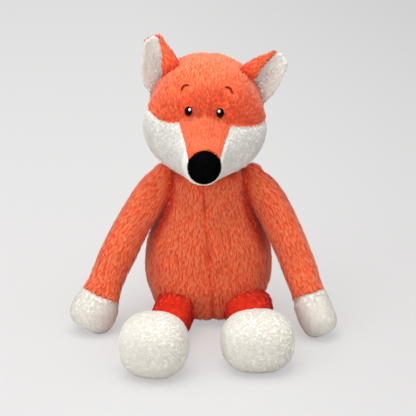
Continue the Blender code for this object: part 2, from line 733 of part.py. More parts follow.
def make_arm(fox, materials, side, floor):
    name = SIDES[side]["name"]
    bow = ARM_RADIUS * SIDES[side]["arm_bow_share"]
    paw_width = PAW_RADIUS * SIDES[side]["paw_width_share"]
    shoulder = fox.joints[f"shoulder_{name}"][1]
    paw = paw_place(side, shoulder)
    run = paw - shoulder
    out = run.normalized()
    outwards = (X * side - out * out.dot(X * side)).normalized()

    def place(way):
        return shoulder + run * way + outwards * bow * math.sin(math.pi * way)

    line = [station(shoulder, ARM_ROOT_RADIUS, ARM_ROOT_RADIUS)]
    line += [station(place(way), ARM_RADIUS * girth, ARM_RADIUS * girth) for way, girth in ARM_SHARES]
    line.append(station(paw, paw_width, PAW_RADIUS))
    start = round_end(line[0], -out, ARM_ROOT_RADIUS)
    end = round_end(line[-1], out, PAW_RADIUS)
    mesh = form_mesh(f"arm_{name}_form", start + line + end[::-1], outwards, LIMB_SEGMENTS, LIMB_RINGS)
    rooms = seat_planes(fox, f"arm_{name}", shoulder, arm_seat(side), arm_seat(side), (0,))
    names = (f"arm_{name}_sleeve", f"arm_{name}_paw", f"arm_{name}_stuffing")
    limb(fox, materials, names, f"shoulder_{name}", mesh, rooms, floor, place(WRIST_SHARE), out)


def make_leg(fox, materials, side, body_form, floor):
    name, turn = SIDES[side]["name"], SIDES[side]["leg_turn"]
    foot_height = FOOT_RADIUS * SIDES[side]["foot_height_share"]
    hip = fox.joints[f"hip_{name}"][1]
    flat = X * side * math.sin(turn) - Y * math.cos(turn)
    foot = hip + flat * LEG_LENGTH * SIDES[side]["leg_reach_share"]
    foot.z = foot_height - FLOOR_PRESS
    ankle = foot - flat * FOOT_HALF_LENGTH * math.cos(ANKLE_ANGLE)
    line = []
    for way, extra in LEG_SHARES:
        width = LEG_RADIUS + (THIGH_HALF_WIDTH - LEG_RADIUS) * extra
        height = LEG_RADIUS + (THIGH_HALF_HEIGHT - LEG_RADIUS) * extra
        place = hip.lerp(ankle, way)
        place.z = height - FLOOR_PRESS
        line.append(station(place, width, height))
    for angle in (ANKLE_ANGLE, *FOOT_ANGLES):
        share = math.sin(angle)
        place = foot - flat * FOOT_HALF_LENGTH * math.cos(angle)
        line.append(station(place, FOOT_RADIUS * share, foot_height * share))
    start = round_end(line[0], -flat, THIGH_HALF_HEIGHT)
    end = round_end(line[-1], flat, FOOT_HALF_LENGTH)
    mesh = form_mesh(f"leg_{name}_form", start + line + end[::-1], X, LIMB_SEGMENTS, LEG_RINGS)
    room = grown(body_form, SWING_GAP, f"hip_{name}_room")
    rooms = fox.turned(room.name, room, hip, X, LEG_SWINGS)
    names = (f"leg_{name}_cover", f"foot_{name}_cover", f"leg_{name}_stuffing")
    limb(fox, materials, names, f"hip_{name}", mesh, rooms, floor, ankle, flat)


def make_tail(fox, materials, seat, floor):
    hinge = fox.joints["tail"][1]
    line = [station(hinge, TAIL_ROOT_HALF_WIDTH, TAIL_ROOT_HALF_HEIGHT)]
    for way, extra in TAIL_SHARES:
        width = TAIL_ROOT_HALF_WIDTH + (TAIL_RADIUS - TAIL_ROOT_HALF_WIDTH) * extra
        height = TAIL_ROOT_HALF_HEIGHT + (TAIL_RADIUS - TAIL_ROOT_HALF_HEIGHT) * extra
        place = Vector((hinge.x, hinge.y + TAIL_LENGTH * way, height - FLOOR_PRESS))
        line.append(station(place, width, height))
    start = round_end(line[0], -Y, TAIL_ROOT_HALF_HEIGHT)
    end = round_end(line[-1], Y, TAIL_LENGTH * (1 - TAIL_SHARES[-1][0]))
    mesh = form_mesh("tail_form", start + line + end[::-1], X, LIMB_SEGMENTS, LIMB_RINGS)
    rooms = seat_planes(fox, "tail", hinge, seat, X, (-TAIL_SWING_DOWN, TAIL_SWING_UP))
    seam = hinge + Y * TAIL_LENGTH * TAIL_TIP_SHARE
    names = ("tail_cover", "tail_tip_cover", "tail_stuffing")
    limb(fox, materials, names, "tail", mesh, rooms, floor, seam, Y)


def make_materials():
    looks = {
        "orange_plush": ((0.86, 0.125, 0.045), 0.9),
        "light_orange_plush": ((0.9, 0.19, 0.085), 0.85),
        "cream_plush": ((0.83, 0.79, 0.72), 0.9),
        "black_velvet": ((0.006, 0.006, 0.007), 0.85),
        "eye_thread": ((0.012, 0.007, 0.005), 0.35),
        "white_thread": ((0.9, 0.9, 0.88), 0.5),
        "brow_thread": ((0.19, 0.02, 0.01), 0.7),
        "stuffing": ((0.85, 0.85, 0.83), 1.0),
        "pellet_cloth": ((0.7, 0.68, 0.62), 0.9),
    }
    return {name: new_material(name, colour, roughness) for name, (colour, roughness) in looks.items()}


def place_joints(fox, body_form, head_form, tail_seat):
    """Empties on the joints' axes. Those on a surface are set just off it."""
    fox.joint("torso", Vector((0, 0, 0)))
    fox.joint("neck", NECK_PIVOT, "torso")
    fox.joint("head", NECK_PIVOT, "neck")
    for side, values in SIDES.items():
        name = values["name"]
        ear_way = Matrix.Rotation(values["ear_place"], 3, Y) @ Z
        ear = HEAD_CENTRE + Y * EAR_BEHIND + ear_way * HEAD_HALF_HEIGHT
        shoulder = Y * SHOULDER_Y + Z * BODY_HEIGHT * values["shoulder_height_share"]
        hip = X * side * BODY_HALF_WIDTH * values["hip_across_share"]
        hip -= Y * BODY_HALF_DEPTH * HIP_FORWARD_SHARE
        fox.joint(f"ear_{name}", seated(ear, ear_base(side)[0], head_form), "head")
        fox.joint(f"shoulder_{name}", seated(shoulder, arm_seat(side), body_form, X * side), "torso")
        fox.joint(f"hip_{name}", hip + Z * HIP_HEIGHT, "torso")
    fox.joint("tail", seated(Z * TAIL_ROOT_HEIGHT, tail_seat, body_form, Y), "torso")


def main():
    clear_scene()
    fox = Fox()
    materials = make_materials()
    body_form = form_mesh("body_form", body_stations(), X, BODY_SEGMENTS, BODY_RINGS)
    head_skin = form_mesh("head_skin", head_stations(), X, HEAD_SEGMENTS, HEAD_RINGS)
    head_form = head_skin.copy()
    head_form.transform(head_turn())
    tail_seat = face_out(body_form, Z * TAIL_ROOT_HEIGHT, Y)
    place_joints(fox, body_form, head_form, tail_seat)

    floor = half_space(fox, "floor", Vector((0, 0, 0)), -Z)
    make_body(fox, materials, body_form, floor)
    make_neck(fox, materials)
    make_head(fox, materials, head_skin, head_form)
    for side in SIDES:
        make_ear(fox, materials, side)
        make_arm(fox, materials, side, floor)
        make_leg(fox, materials, side, body_form, floor)
    make_tail(fox, materials, tail_seat, floor)


main()
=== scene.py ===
"""A sitting plush fox, dressed over its packed frame.

It has sewn covers, standing nap, a stitched face and a studio stage.
"""

import json
import math
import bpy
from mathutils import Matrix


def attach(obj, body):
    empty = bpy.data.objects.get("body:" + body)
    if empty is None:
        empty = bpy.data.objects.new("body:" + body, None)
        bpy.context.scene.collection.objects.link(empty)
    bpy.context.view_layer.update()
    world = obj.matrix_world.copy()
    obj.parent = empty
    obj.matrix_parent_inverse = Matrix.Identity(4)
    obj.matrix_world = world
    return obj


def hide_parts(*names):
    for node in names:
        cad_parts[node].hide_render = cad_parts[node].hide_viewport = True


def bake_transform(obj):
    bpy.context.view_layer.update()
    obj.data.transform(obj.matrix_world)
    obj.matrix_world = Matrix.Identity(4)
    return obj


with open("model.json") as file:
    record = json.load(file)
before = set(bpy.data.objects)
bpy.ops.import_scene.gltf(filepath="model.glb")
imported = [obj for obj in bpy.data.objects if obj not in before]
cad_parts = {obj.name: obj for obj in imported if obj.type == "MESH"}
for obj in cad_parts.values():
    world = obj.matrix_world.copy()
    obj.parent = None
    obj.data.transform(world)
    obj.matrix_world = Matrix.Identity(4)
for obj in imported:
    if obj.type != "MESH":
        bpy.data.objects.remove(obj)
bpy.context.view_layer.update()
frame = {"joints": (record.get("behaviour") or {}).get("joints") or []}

from copy import copy

import bmesh
import bpy
import numpy as np
from mathutils import Matrix, Vector
from mathutils.bvhtree import BVHTree

bl_info = {
    "name": "Plush Fox",
    "version": (1, 0, 0),
    "blender": (4, 5, 0),
    "location": "View3D > Sidebar > Plush Fox",
    "description": "Sews, stuffs and brushes a sitting plush fox",
    "category": "Add Mesh",
}

X, Y, Z = np.eye(3)
LEFT, RIGHT = 1, -1
OWN = "soft_"  # starts the names of materials made here, as the frame brings its own
SMALLEST = 1e-12  # keeps divisions from dividing by nothing
FAR = 1.0  # stands for a distance beyond the reach of any seam
SQUARE_CENTIMETRES = 1e4  # in a square metre
SEEDS = {"body": 11, "head": 21, "nose": 31, "ear": 41, "arm": 51, "leg": 61, "tail": 71}

# Girths along each form, as shares of its full size
BODY_SIDE_SHARES = (  # height, half width, half depth
    (0.135, 0.92, 0.93),
    (0.26, 1.0, 1.0),
    (0.46, 0.96, 0.94),
    (0.64, 0.8, 0.81),
    (0.78, 0.68, 0.71),
)
HEAD_SHARES = (  # reach, drop, half width, height above, depth below
    (-0.1, 0.03, 0.93, 0.95, 0.99),
    (0.16, 0.13, 0.92, 0.98, 1.03),
    (0.38, 0.28, 0.98, 0.84, 1.08),
    (0.58, 0.58, 0.8, 0.51, 0.8),
    (0.78, 0.8, 0.47, 0.32, 0.6),
)
CHEEK_BOTTOM_SHARE = 1.4
MUZZLE_TIP_SHARE = 0.3
CHIN_SHARE = 1.14  # of the muzzle's tip, so that a rim of cheek shows below the nose
# Painted shade on the forehead, painted light towards the crown's top
FOREHEAD, FOREHEAD_REACH = np.array([0.012, -0.045, 0.01]), np.array([0.05, 0.05, 0.022])
FOREHEAD_SHADE_SHARE = 0.6  # how much darker the orange is painted there, as shade
CROWN_START, CROWN_REACH, CROWN_LIGHT_SHARE = 0.026, 0.018, 0.5  # where and how much it is painted paler towards the top, as light from above
CROWN_LAY_SHARE = 0.35  # how far the crown's nap lies upwards for each share backwards
EAR_SHARES = (  # of the way up, half width, radius of the fold, how far the fold turns
    (0.0, 0.86, 0.86, 1.0),
    (0.2, 1.0, 0.9, 1.0),
    (0.42, 0.96, 0.82, 0.97),
    (0.62, 0.78, 0.62, 0.9),
    (0.8, 0.55, 0.42, 0.8),
    (0.92, 0.46, 0.27, 0.6),
    (1.0, 0.28, 0.12, 0.4),
)
ARM_SHARES = (0.14, 0.35, 0.6, 0.78)  # of the way to the paw
BOW_SHARE = 0.7  # below 1, an arm bows most near the shoulder
PAW_END_SHARE = 0.93  # of the paw's radius, from its middle to its end
LEG_SHARES = ((0.0, 1.0), (0.3, 0.6), (0.65, 0.0))  # of the way to the ankle, of the thigh's extra girth
TAIL_SHARES = ((0.2, 0.3), (0.42, 0.8), (0.62, 1.0), (0.8, 0.8))  # of its length, of the extra girth
TAIL_ROOT_SHARE = 2  # of the root's half height, how far it goes into the body

# How square forms are round their middle line or at their ends, 2 being round
PAW_SQUARENESS = 2.8
LEG_SQUARENESS, FOOT_END_SQUARENESS = 2.4, 2.5
PLUG_FOOT_SQUARENESS, PLUG_TOP_SQUARENESS = 8, 3

# Angles round a form's ends and balls
END_ANGLES = np.radians((0, 22, 45, 67))
NECK_SEAT_ANGLES = np.radians((60, 42, 22, 0))
FOOT_ANGLES = np.radians((52, 72, 90))

# How finely the covers and threads are drawn
BEND_SHARE = 0.03  # how far along a form its middle line is looked at to find which way it runs
COVER_SEGMENTS, COVER_RINGS = 72, 60
LIMB_SEGMENTS, LIMB_RINGS = 40, 64
EAR_COLUMNS, EAR_ROWS = 36, 30
BALL_SEGMENTS, BALL_RINGS = 64, 40
THREAD_SEGMENTS, BROW_RINGS, BROW_STEPS = 12, 64, 9

# Stuffing the covers
STUFFING_FRAMES = 12
STUFFING_PRESSURE = 2.5
SPARE_CLOTH_SHARE = 0.02
CLOTH_BENDING = 0.2
LEVELLING_ROUNDS = 6
BODY_SWELL, HEAD_SWELL, LIMB_SWELL = 0.0022, 0.001, 0.0011  # the most that stuffing moves a cover
HELD_SEAT, HELD_NECK = 0.006, 0.128  # the body is held below the first height and above the second
HELD_ROWS, HELD_SOLE = 8, 0.003  # a limb is held over its first rings, and a leg or tail below this height
LEAST_HOLD_SHARE = 0.05
FLOOR_GAP = 0.0004  # the least height of a cover over the floor

# Seams, creases and dents, and the shade painted in them and in the ears' hollows
SIDE_SEAM_SHARE, FACE_SEAM_SHARE, CROWN_SEAM_SHARE = 0.5, 0.6, 0.4  # of the front seam's draw
SEAM_REACH = 0.001  # how far from the front seam the nap is drawn into it
SEAM_BARE_SHARE = 1 / 3  # how far from it no nap grows, of the seam's width
PRESSED_POWER = 3  # makes the pressed nap along a seam narrower than the draw
CHIN_SEAM_REACH = 0.002  # the cheeks have no seam this near to the head's middle
CHEEK_INSET_SHARE = 0.7
EYE_DENT_REACH, EYE_DENT_DEPTH = 0.006, 0.0016
EYE_DENT_SHADE_SHARE = 0.5  # how far its nap is pressed shorter and painted darker, as shade in the dent
NOSE_DENT_REACH, NOSE_DENT_DEPTH = 0.0022, 0.0012
HOLLOW_UP_SHARE, HOLLOW_UP_REACH_SHARE = 0.56, 0.16  # where shade is painted in the ear's hollow, from root to tip
HOLLOW_IN_SHARE, HOLLOW_IN_REACH_SHARE = 0.38, 0.1  # and from the outer edge inwards
HOLLOW_SHADE_SHARE = 0.45  # how dark the painted shade is there

# How the nap grows. Lay, lift and tint drift slowly over these waves, and spread from tuft to tuft
DRIFT_WAVES = 7
LAY_WAVE, LIFT_WAVE, TINT_WAVE = 0.05, 0.02, 0.02
LAY_SEED, LIFT_SEED, TINT_SEED = 3, 5, 7
LAY_DRIFT_SHARE, LAY_SPREAD_SHARE = 0.12, 0.08
LIFT_DRIFT_SHARE, LIFT_SPREAD_SHARE = 0.15, 0.14
TINT_DRIFT_SHARE, TUFT_TINT_SHARE, BLADE_TINT_SHARE = 0.07, 0.17, 0.08
MIDDLE_TINT_SHARE = 0.5
TUFT_LENGTH_SHARES = (0.8, 1.1)
PRESSED_SHARE = 0.35  # how much shorter fully pressed nap is
BLADES, VELVET_BLADES = 7, 4  # in a tuft
BLADE_LENGTH_SHARES, BLADE_WIDTH_SHARES = (0.75, 1.08), (0.6, 1.3)
ROOT_DEPTH_SHARE, STRAY_SHARE, BLADE_BOW_SHARE = 0.05, 0.05, 0.09  # of the nap's length
GATHER_SHARE = 0.6  # how far a tuft's tips gather towards its middle
BLADE_MIDDLE_SHARE = 0.85  # of the width at its root
BLADE_ROLL = 0.15  # radians, which most blades roll less than
FACING_SHARE = 0.3  # how far a blade is shaded as it faces, and not as the cloth does
BLADE_FLOOR_GAPS = (0.0002, 0.0009)  # the least and the most that a blade is kept off the floor
COVERED_DEPTH = 0.0015  # no nap grows deeper than this under another piece
FACE_EDGE = 0.0007  # no orange nap grows this near to the cheeks and the bridge
NOSE_ROOM_SHARE = 0.95  # of the nose's radius, where the nap round it starts
ROOM_LENGTH_SHARE, SHORTEST_SHARE = 1.1, 0.3  # nap next to an eye, a brow or the nose is shorter
BRIDGE_LAY_DROP = 0.06  # the bridge's nap lies away from a spot this far below the nose

# A blade: four corners up to its middle and one at its tip, drawn as a quad and a triangle
BLADE_CORNERS, BLADE_LOOPS = 5, np.array([0, 1, 3, 2, 2, 3, 4])
BLADE_STARTS = np.array([0, 4])
BLADE_HEIGHT_SHARES = (0, 0, 0.5, 0.5, 1)

# Looks
SHEEN_SHARE = 0.5  # how much paler than the tips the shine along the nap's edges is
SHEEN_ROUGHNESS, NAP_ROUGHNESS, CLOTH_ROUGHNESS, PAPER_ROUGHNESS = 0.5, 0.65, 0.95, 0.9
THREAD_SPECULAR, PAPER_SPECULAR = 0.04, 0.2
CLOTH_SHEEN = 0.2
NAP_SHARES = {  # how much tufts differ, sheen, specular
    "orange": (0.4, 1.0, 0.2),
    "bridge": (0.35, 0.8, 0.2),
    "leg": (0.25, 0.1, 0.2),
    "cream": (0.07, 0.2, 0.2),
    "cheek": (0.07, 0.2, 0.2),
    "lining": (0.07, 0.2, 0.2),
    "velvet": (0.3, 0.0, 0.0),
}
NAP_MIDDLE_SHARE = 0.4  # how far up a fibre its middle colour lies
DARK_TUFT_SHARES, LIGHT_TUFT_SHARES = (0.6, 1.4, 1.5), (0.1, 0.6, 0.75)  # of the contrast: red, green, blue
KNIT_SCALE, KNIT_WOBBLE, KNIT_HEIGHT, KNIT_SHARE = 260, 2, 0.0004, 0.4  # the share is its strength
BLOT_SCALE = 90
THREAD_LOOKS = {  # roughness, scale of the stitches
    "eye": (0.7, 900),
    "rim": (0.5, 900),
    "white": (0.4, 900),
    "brow": (0.7, 700),
}
THREAD_WOBBLE = 1.5
FLUFF_SCALE_SHARE, FLUFF_HEIGHT, FLUFF_SHARE = 2, 0.0002, 0.3  # of the thread's scale, and the strength
MIX_SOCKETS, MIX_RESULT = (0, 6, 7), 2  # a mix node's sockets for colours

# The face's cloth and stitches
CHEEK_PROUD, BRIDGE_PROUD = 0.0003, 0.0008  # how far its covers stand out from the head's
WELD_REACH = 0.0003
STITCH_MIDDLE_SHARE = 0.5  # how much of a stitch lies below the form that it is drawn on
EYE_RIDGES, EYE_RIDGE_SHARE, EYE_SINK = 9, 0.05, 0.0008
GLINT_RIDGES, GLINT_RIDGE_SHARE = 5, 0.08
GLINT_OUT_SHARE, GLINT_DEPTH_SHARE = 0.55, 0.7  # of the eye's half depth, of its own radius
RIM_RADIUS, RIM_SWELL, RIM_SINK = 0.00038, 0.0002, 0.0006
RIM_TWISTS, RIM_TWIST_SHARE = 24, 0.12
BROW_OUT_SHARE = 0.6  # of its radius
BROW_STITCHES, BROW_STITCH_HEIGHT = 6, 0.00012
VELVET_STAND_SHARE = 0.35  # how much of its length the velvet adds to the ball

# The ears' leaves
BACK_SPAN_SHARES = (0.1, 1.0)  # from the outer edge to the curled one
LINING_SPAN_SHARES = (-0.03, 0.95)
LEAF_GAP_SHARE = 2.2  # of half a leaf's thickness, from the middle of one to the middle of the other
EAR_ARC_SHARE = 1.35  # of the curl's radius, how long its arc is
EAR_EDGE_SHARE = 0.35  # of a leaf's thickness, along its edges

# The neck's plug, the tail's root, and how far before and behind each joint a stretch reaches
PLUG_PROUD, PLUG_ROUNDING, PLUG_FOOT_ROUNDING = 0.0002, 0.003, 0.0002
TAIL_INSET_ROWS = 12  # over so many rings the nap's inset starts
EAR_BEND, ARM_BEND = (0.004, 0.008), (0.01, 0.022)
LEG_BEND, TAIL_BEND = (0.004, 0.03), (0.004, 0.02)

# The stage
FLOOR_HALF_WIDTH, FLOOR_FRONT, FLOOR_BACK = 3.0, -3.0, 1.8
FLOOR_BEND, FLOOR_BEND_STEPS, BACKDROP_HEIGHT = 0.8, 16, 3.0
SENSOR_WIDTH = 36  # millimetres
SKY_STRENGTH = 0.86
LAMP_TARGET = (0, 0, 0.1)
LAMPS = (  # name, place, size, watts
    ("key", (-1.1, -1.3, 1.3), 1.6, 9.5),
    ("fill", (1.2, -1.2, 0.7), 1.6, 1.7),
    ("top", (-0.2, -0.25, 1.8), 1.4, 19),
)

# What differs from side to side in the sitting pose
SIDES = {
    LEFT: {
        "name": "left",
        "arm_turn": math.radians(41.8),  # forwards from straight out
        "arm_bow_share": 0.4,  # of the arm's radius
        "arm_shares": (1.08, 1.06, 1.0, 0.98),  # of the arm's radius, from the shoulder down
        "wrist_share": 0.865,  # where the paw is sewn on, along the arm
        "paw_width_share": 0.8,  # of its height
        "leg_reach_share": 0.877,  # of its length
        "leg_turn": math.radians(4.7),  # outwards from straight ahead
        "thigh_share": 1.2,
        "foot_width_share": 1.07,
        "foot_height_share": 0.89,  # of the foot's radius
        "ear_lean": math.radians(49),
        "ear_width_share": 1.07,
        "ear_fold_share": 0.72,
        "ear_shift": 0.0012,  # how far it stands out from its hinge
        "ear_back_share": 0.9,  # where the orange back ends, below the lining's tip
        "cheek_shares": ((0.55, 0.03), (1.3, 0.03)),  # across and up, from the muzzle outwards
        "bridge_foot": (0.012, -0.0225),
    },
    RIGHT: {
        "name": "right",
        "arm_turn": math.radians(33),
        "arm_bow_share": 0.38,
        "arm_shares": (1.02, 1.03, 1.07, 1.03),
        "wrist_share": 0.895,
        "paw_width_share": 1.01,
        "leg_reach_share": 1.0,
        "leg_turn": math.radians(9.5),
        "thigh_share": 0.98,
        "foot_width_share": 1.0,
        "foot_height_share": 0.94,
        "ear_lean": math.radians(-18),
        "ear_width_share": 1.0,
        "ear_fold_share": 1.0,
        "ear_shift": 0.0024,
        "ear_back_share": 0.95,
        "cheek_shares": ((0.55, 0.03), (0.7, 0.04), (0.85, 0.12), (1.3, 0.09)),
        "bridge_foot": (0.011, -0.0195),
    },
}


def length(name, description, default):
    return bpy.props.FloatProperty(
        name=name, description=description, default=default, precision=5, unit="LENGTH"
    )


def place(name, description, default):
    return bpy.props.FloatVectorProperty(
        name=name, description=description, default=default, precision=5, subtype="TRANSLATION"
    )


def angle(name, description, degrees):
    return bpy.props.FloatProperty(
        name=name, description=description, default=math.radians(degrees), subtype="ANGLE"
    )


def share(name, description, default):
    return bpy.props.FloatProperty(name=name, description=description, default=default)


def colour(name, description, default):
    return bpy.props.FloatVectorProperty(
        name=name, description=description, default=default, subtype="COLOR", min=0, max=1
    )


class FoxBody(bpy.types.PropertyGroup):
    """The body and the ball of cloth that the head sits on"""

    height: length("Height", "Floor to the top of the body", 0.146)
    half_width: length("Half width", "Middle to side at the widest", 0.0535)
    half_depth: length("Half depth", "Middle to front at the deepest", 0.046)
    seat_squareness: share("Seat squareness", "How square the bottom is, 2 being round", 2.3)
    floor_press: length("Floor press", "How far it is pressed flat on the floor", 0.0005)
    seam_lean: angle("Seam lean", "How far the front seam leans", 4.5)
    seam_offset: length("Seam offset", "From the middle to the seam's top", 0.003)
    side_seam_y: length("Side seam", "How far back the side seams run", -0.01)
    neck_radius: length("Neck radius", "The ball that the head turns on", 0.038)
    plug_radius: length("Neck plug radius", "The plug of stuffing in the neck", 0.0127)
    plug_depth: length("Neck plug depth", "How deep the plug goes into the body", 0.0275)


class FoxHead(bpy.types.PropertyGroup):
    """The head and its face"""

    offset: place("Offset", "From the top of the body to the head's middle", (-0.002, -0.006, 0.0375))
    roll: angle("Roll", "How far its left side hangs", 2.8)
    yaw: angle("Yaw", "How far it looks to its left", -1.1)
    half_width: length("Half width", "Middle to side", 0.0515)
    half_height: length("Half height", "Middle to top", 0.0475)
    skull_back: length("Skull back", "Middle to the back", 0.05)
    muzzle_reach: length("Muzzle reach", "Middle to the muzzle's end", 0.076)
    muzzle_drop: length("Muzzle drop", "How far the muzzle's end hangs below the middle", 0.0245)
    nose_radius: length("Nose radius", "Half the nose's width", 0.0138)
    nose_offset: place("Nose offset", "From the muzzle's middle to the nose's", (0.0011, 0, 0.0004))
    nose_half_height: length("Nose half height", "Half the nose's height", 0.0147)
    cheek_back: length("Cheek back", "How far back the cheeks go", 0.004)
    bridge_top: length("Bridge top", "Half the bridge's width at its top", 0.0205)
    bridge_rise: length("Bridge rise", "How far its top edge peaks in the middle", 0.006)
    bridge_up: length("Bridge up", "How far its top corners are above the head's middle", 0.0025)
    face_offset: length("Face offset", "How far the eyes sit to the toy's right", -0.001)
    eye_half_width: length("Eye half width", "Half an eye's width", 0.0027)
    eye_half_height: length("Eye half height", "Half an eye's height", 0.0034)
    eye_half_depth: length("Eye half depth", "How far an eye stands proud", 0.0019)
    eye_across: length("Eye across", "From the middle to an eye", 0.0128)
    eye_up: length("Eye up", "From the head's middle up to the eyes", 0.0134)
    glint_radius: length("Glint radius", "Half the width of the white highlight stitch", 0.00105)
    glint_half_height: length("Glint half height", "Half its height", 0.0012)
    glint_in: length("Glint in", "From the eye's middle towards the muzzle", 0.0011)
    glint_up: length("Glint up", "From the eye's middle up", 0.0013)
    brow_radius: length("Brow radius", "Half the brow thread's width", 0.00075)
    brow_across: length("Brow across", "From the middle to a brow", 0.0177)
    brow_up: length("Brow up", "From the head's middle up to the brows", 0.029)
    brow_half_length: length("Brow half length", "Half a brow's length", 0.003)
    brow_arch: length("Brow arch", "How far a brow arches", 0.0012)
    brow_slant: angle("Brow slant", "How far the outer end hangs", 34)


class FoxEars(bpy.types.PropertyGroup):
    """Both ears"""

    length: length("Length", "From the hinge line to the tip", 0.032)
    root: length("Root", "How far an ear goes into the head", 0.014)
    half_width: length("Half width", "Middle to edge at the widest", 0.0168)
    cup: length("Cup", "How far the outer edge stands forward", 0.006)
    fold_angle: angle("Fold angle", "How far the inner edge curls over", 178)
    fold_depth: share("Fold depth", "Depth of the curl over its width", 0.42)
    half_wall: length("Half wall", "Half the thickness of one leaf", 0.0011)
    turn: angle("Turn", "How far the hollow faces outwards", 14)


class FoxLimbs(bpy.types.PropertyGroup):
    """Arms, legs and tail"""

    arm_length: length("Arm length", "From the shoulder to the middle of the paw", 0.1266)
    arm_radius: length("Arm radius", "Half the arm's width", 0.0145)
    arm_root: length("Arm root radius", "Half the arm's width at the shoulder", 0.0143)
    paw_radius: length("Paw radius", "Half the paw's height", 0.019)
    leg_length: length("Leg length", "From the hip to the middle of the foot", 0.0973)
    leg_radius: length("Leg radius", "Half the leg's width", 0.0155)
    thigh_half_width: length("Thigh half width", "Half the thigh's width", 0.018)
    thigh_half_height: length("Thigh half height", "Half the thigh's height", 0.0165)
    foot_radius: length("Foot radius", "Half the foot's width", 0.0272)
    foot_half_length: length("Foot half length", "Middle of the foot to its sole", 0.0265)
    ankle_angle: angle("Ankle angle", "Where the leg meets the foot's ball", 33)
    tail_length: length("Tail length", "From the root to the tip", 0.112)
    tail_root_half_width: length("Tail root half width", "Half the root's width", 0.011)
    tail_root_half_height: length("Tail root half height", "Half the root's height", 0.005)
    tail_radius: length("Tail radius", "Half the tail's width", 0.0195)
    tail_tip_share: share("Tail tip", "Where the tip is sewn on, along the tail", 0.7)


class FoxNap(bpy.types.PropertyGroup):
    """The standing fibres of the cloth"""

    inset: length("Inset", "From the outline of the orange nap in to the cloth", 0.0012)
    cream_inset: length("Cream inset", "From the outline of the cream nap in to the cloth", 0.0002)
    seam_depth: length("Seam depth", "How deep a seam is drawn in", 0.0016)
    seam_width: length("Seam width", "How wide the draw is", 0.0013)
    # Painted shade: nap this near another piece is pressed and drawn darker
    crease_reach: length("Crease reach", "How far from another piece the nap is pressed", 0.0038)
    orange_length: length("Orange length", "Fibre length on the orange cloth", 0.0057)
    orange_width: length("Orange width", "Width of a fibre bundle", 0.0005)
    orange_lift: angle("Orange lift", "How far the fibres stand up", 16)
    orange_tufts: share("Orange tufts", "Tufts on a square centimetre", 27)
    bridge_length: length("Bridge length", "Fibre length on the bridge", 0.005)
    bridge_width: length("Bridge width", "Width of a fibre bundle", 0.00045)
    bridge_lift: angle("Bridge lift", "How far the fibres stand up", 26)
    bridge_tufts: share("Bridge tufts", "Tufts on a square centimetre", 38)
    cream_length: length("Cream length", "Fibre length on the cream cloth", 0.0021)
    cream_width: length("Cream width", "Width of a fibre bundle", 0.0004)
    cream_lift: angle("Cream lift", "How far the fibres stand up", 22)
    cream_tufts: share("Cream tufts", "Tufts on a square centimetre", 55)
    velvet_length: length("Velvet length", "Fibre length on the nose", 0.0011)
    velvet_width: length("Velvet width", "Width of a fibre bundle", 0.00025)
    velvet_lift: angle("Velvet lift", "How far the fibres stand up", 55)
    velvet_tufts: share("Velvet tufts", "Tufts on a square centimetre", 130)
    through_share: share("Light through", "How much light a fibre lets through", 0.3)
    ear_share: share("Ear nap", "Length of the ears' nap as a share of the rest", 0.7)
    tuft_radius: length("Tuft radius", "How far a tuft's roots lie apart", 0.0011)


class FoxColours(bpy.types.PropertyGroup):
    """Colours of cloth, nap and thread"""

    orange: colour("Orange", "Orange nap", (0.98, 0.18, 0.06))
    # Painted shade and light: orange nap is drawn deep at its roots as shade among the fibres, light at its
    # tips
    orange_deep: colour("Deep orange", "Orange nap at its roots, and its backing", (0.9, 0.05, 0.013))
    orange_light: colour("Light orange", "Orange nap at its tips", (1.0, 0.4, 0.18))
    bridge: colour("Bridge", "Nap on the bridge", (0.92, 0.27, 0.125))
    # Painted shade: the legs' orange is redder and darker than the body's, as shade and reflected orange
    # light under the belly
    leg: colour("Leg", "Nap on the legs, which lies the other way", (0.97, 0.06, 0.017))
    # Painted shade: nap in seams and against other pieces is drawn in this colour
    crease: colour("Crease", "Orange nap pressed into a seam or against another piece", (0.68, 0.03, 0.01))
    # Painted shade: the cheeks' cream is darker than the paws' and the feet's, as the face lies in shade
    cheek: colour("Cheek", "Smooth cream nap on the cheeks", (0.76, 0.748, 0.702))
    cream: colour("Cream", "Cream nap", (0.87, 0.85, 0.79))
    # Painted shade and light: cream nap is drawn deeper at its roots and lighter at its tips
    cream_deep: colour("Deep cream", "Cream nap at its roots, and its backing", (0.86, 0.81, 0.74))
    # Painted shade: the lining darkens towards this colour at the bottom of its hollow
    hollow: colour("Hollow", "Ear lining at the bottom of its hollow", (0.5, 0.37, 0.33))
    cream_light: colour("Light cream", "Cream nap at its tips", (0.9, 0.88, 0.84))
    velvet: colour("Velvet", "The nose", (0.002, 0.002, 0.002))
    velvet_tip: colour("Velvet tips", "The nose's nap at its tips", (0.005, 0.005, 0.0055))
    eye: colour("Eye", "Eye thread", (0.003, 0.002, 0.002))
    eye_rim: colour("Eye rim", "Thread below the eye", (0.05, 0.015, 0.008))
    white: colour("White", "Highlight thread", (0.88, 0.88, 0.86))
    brow: colour("Brow", "Brow thread", (0.3, 0.03, 0.014))
    stuffing: colour("Stuffing", "Fibre filling", (0.85, 0.85, 0.83))


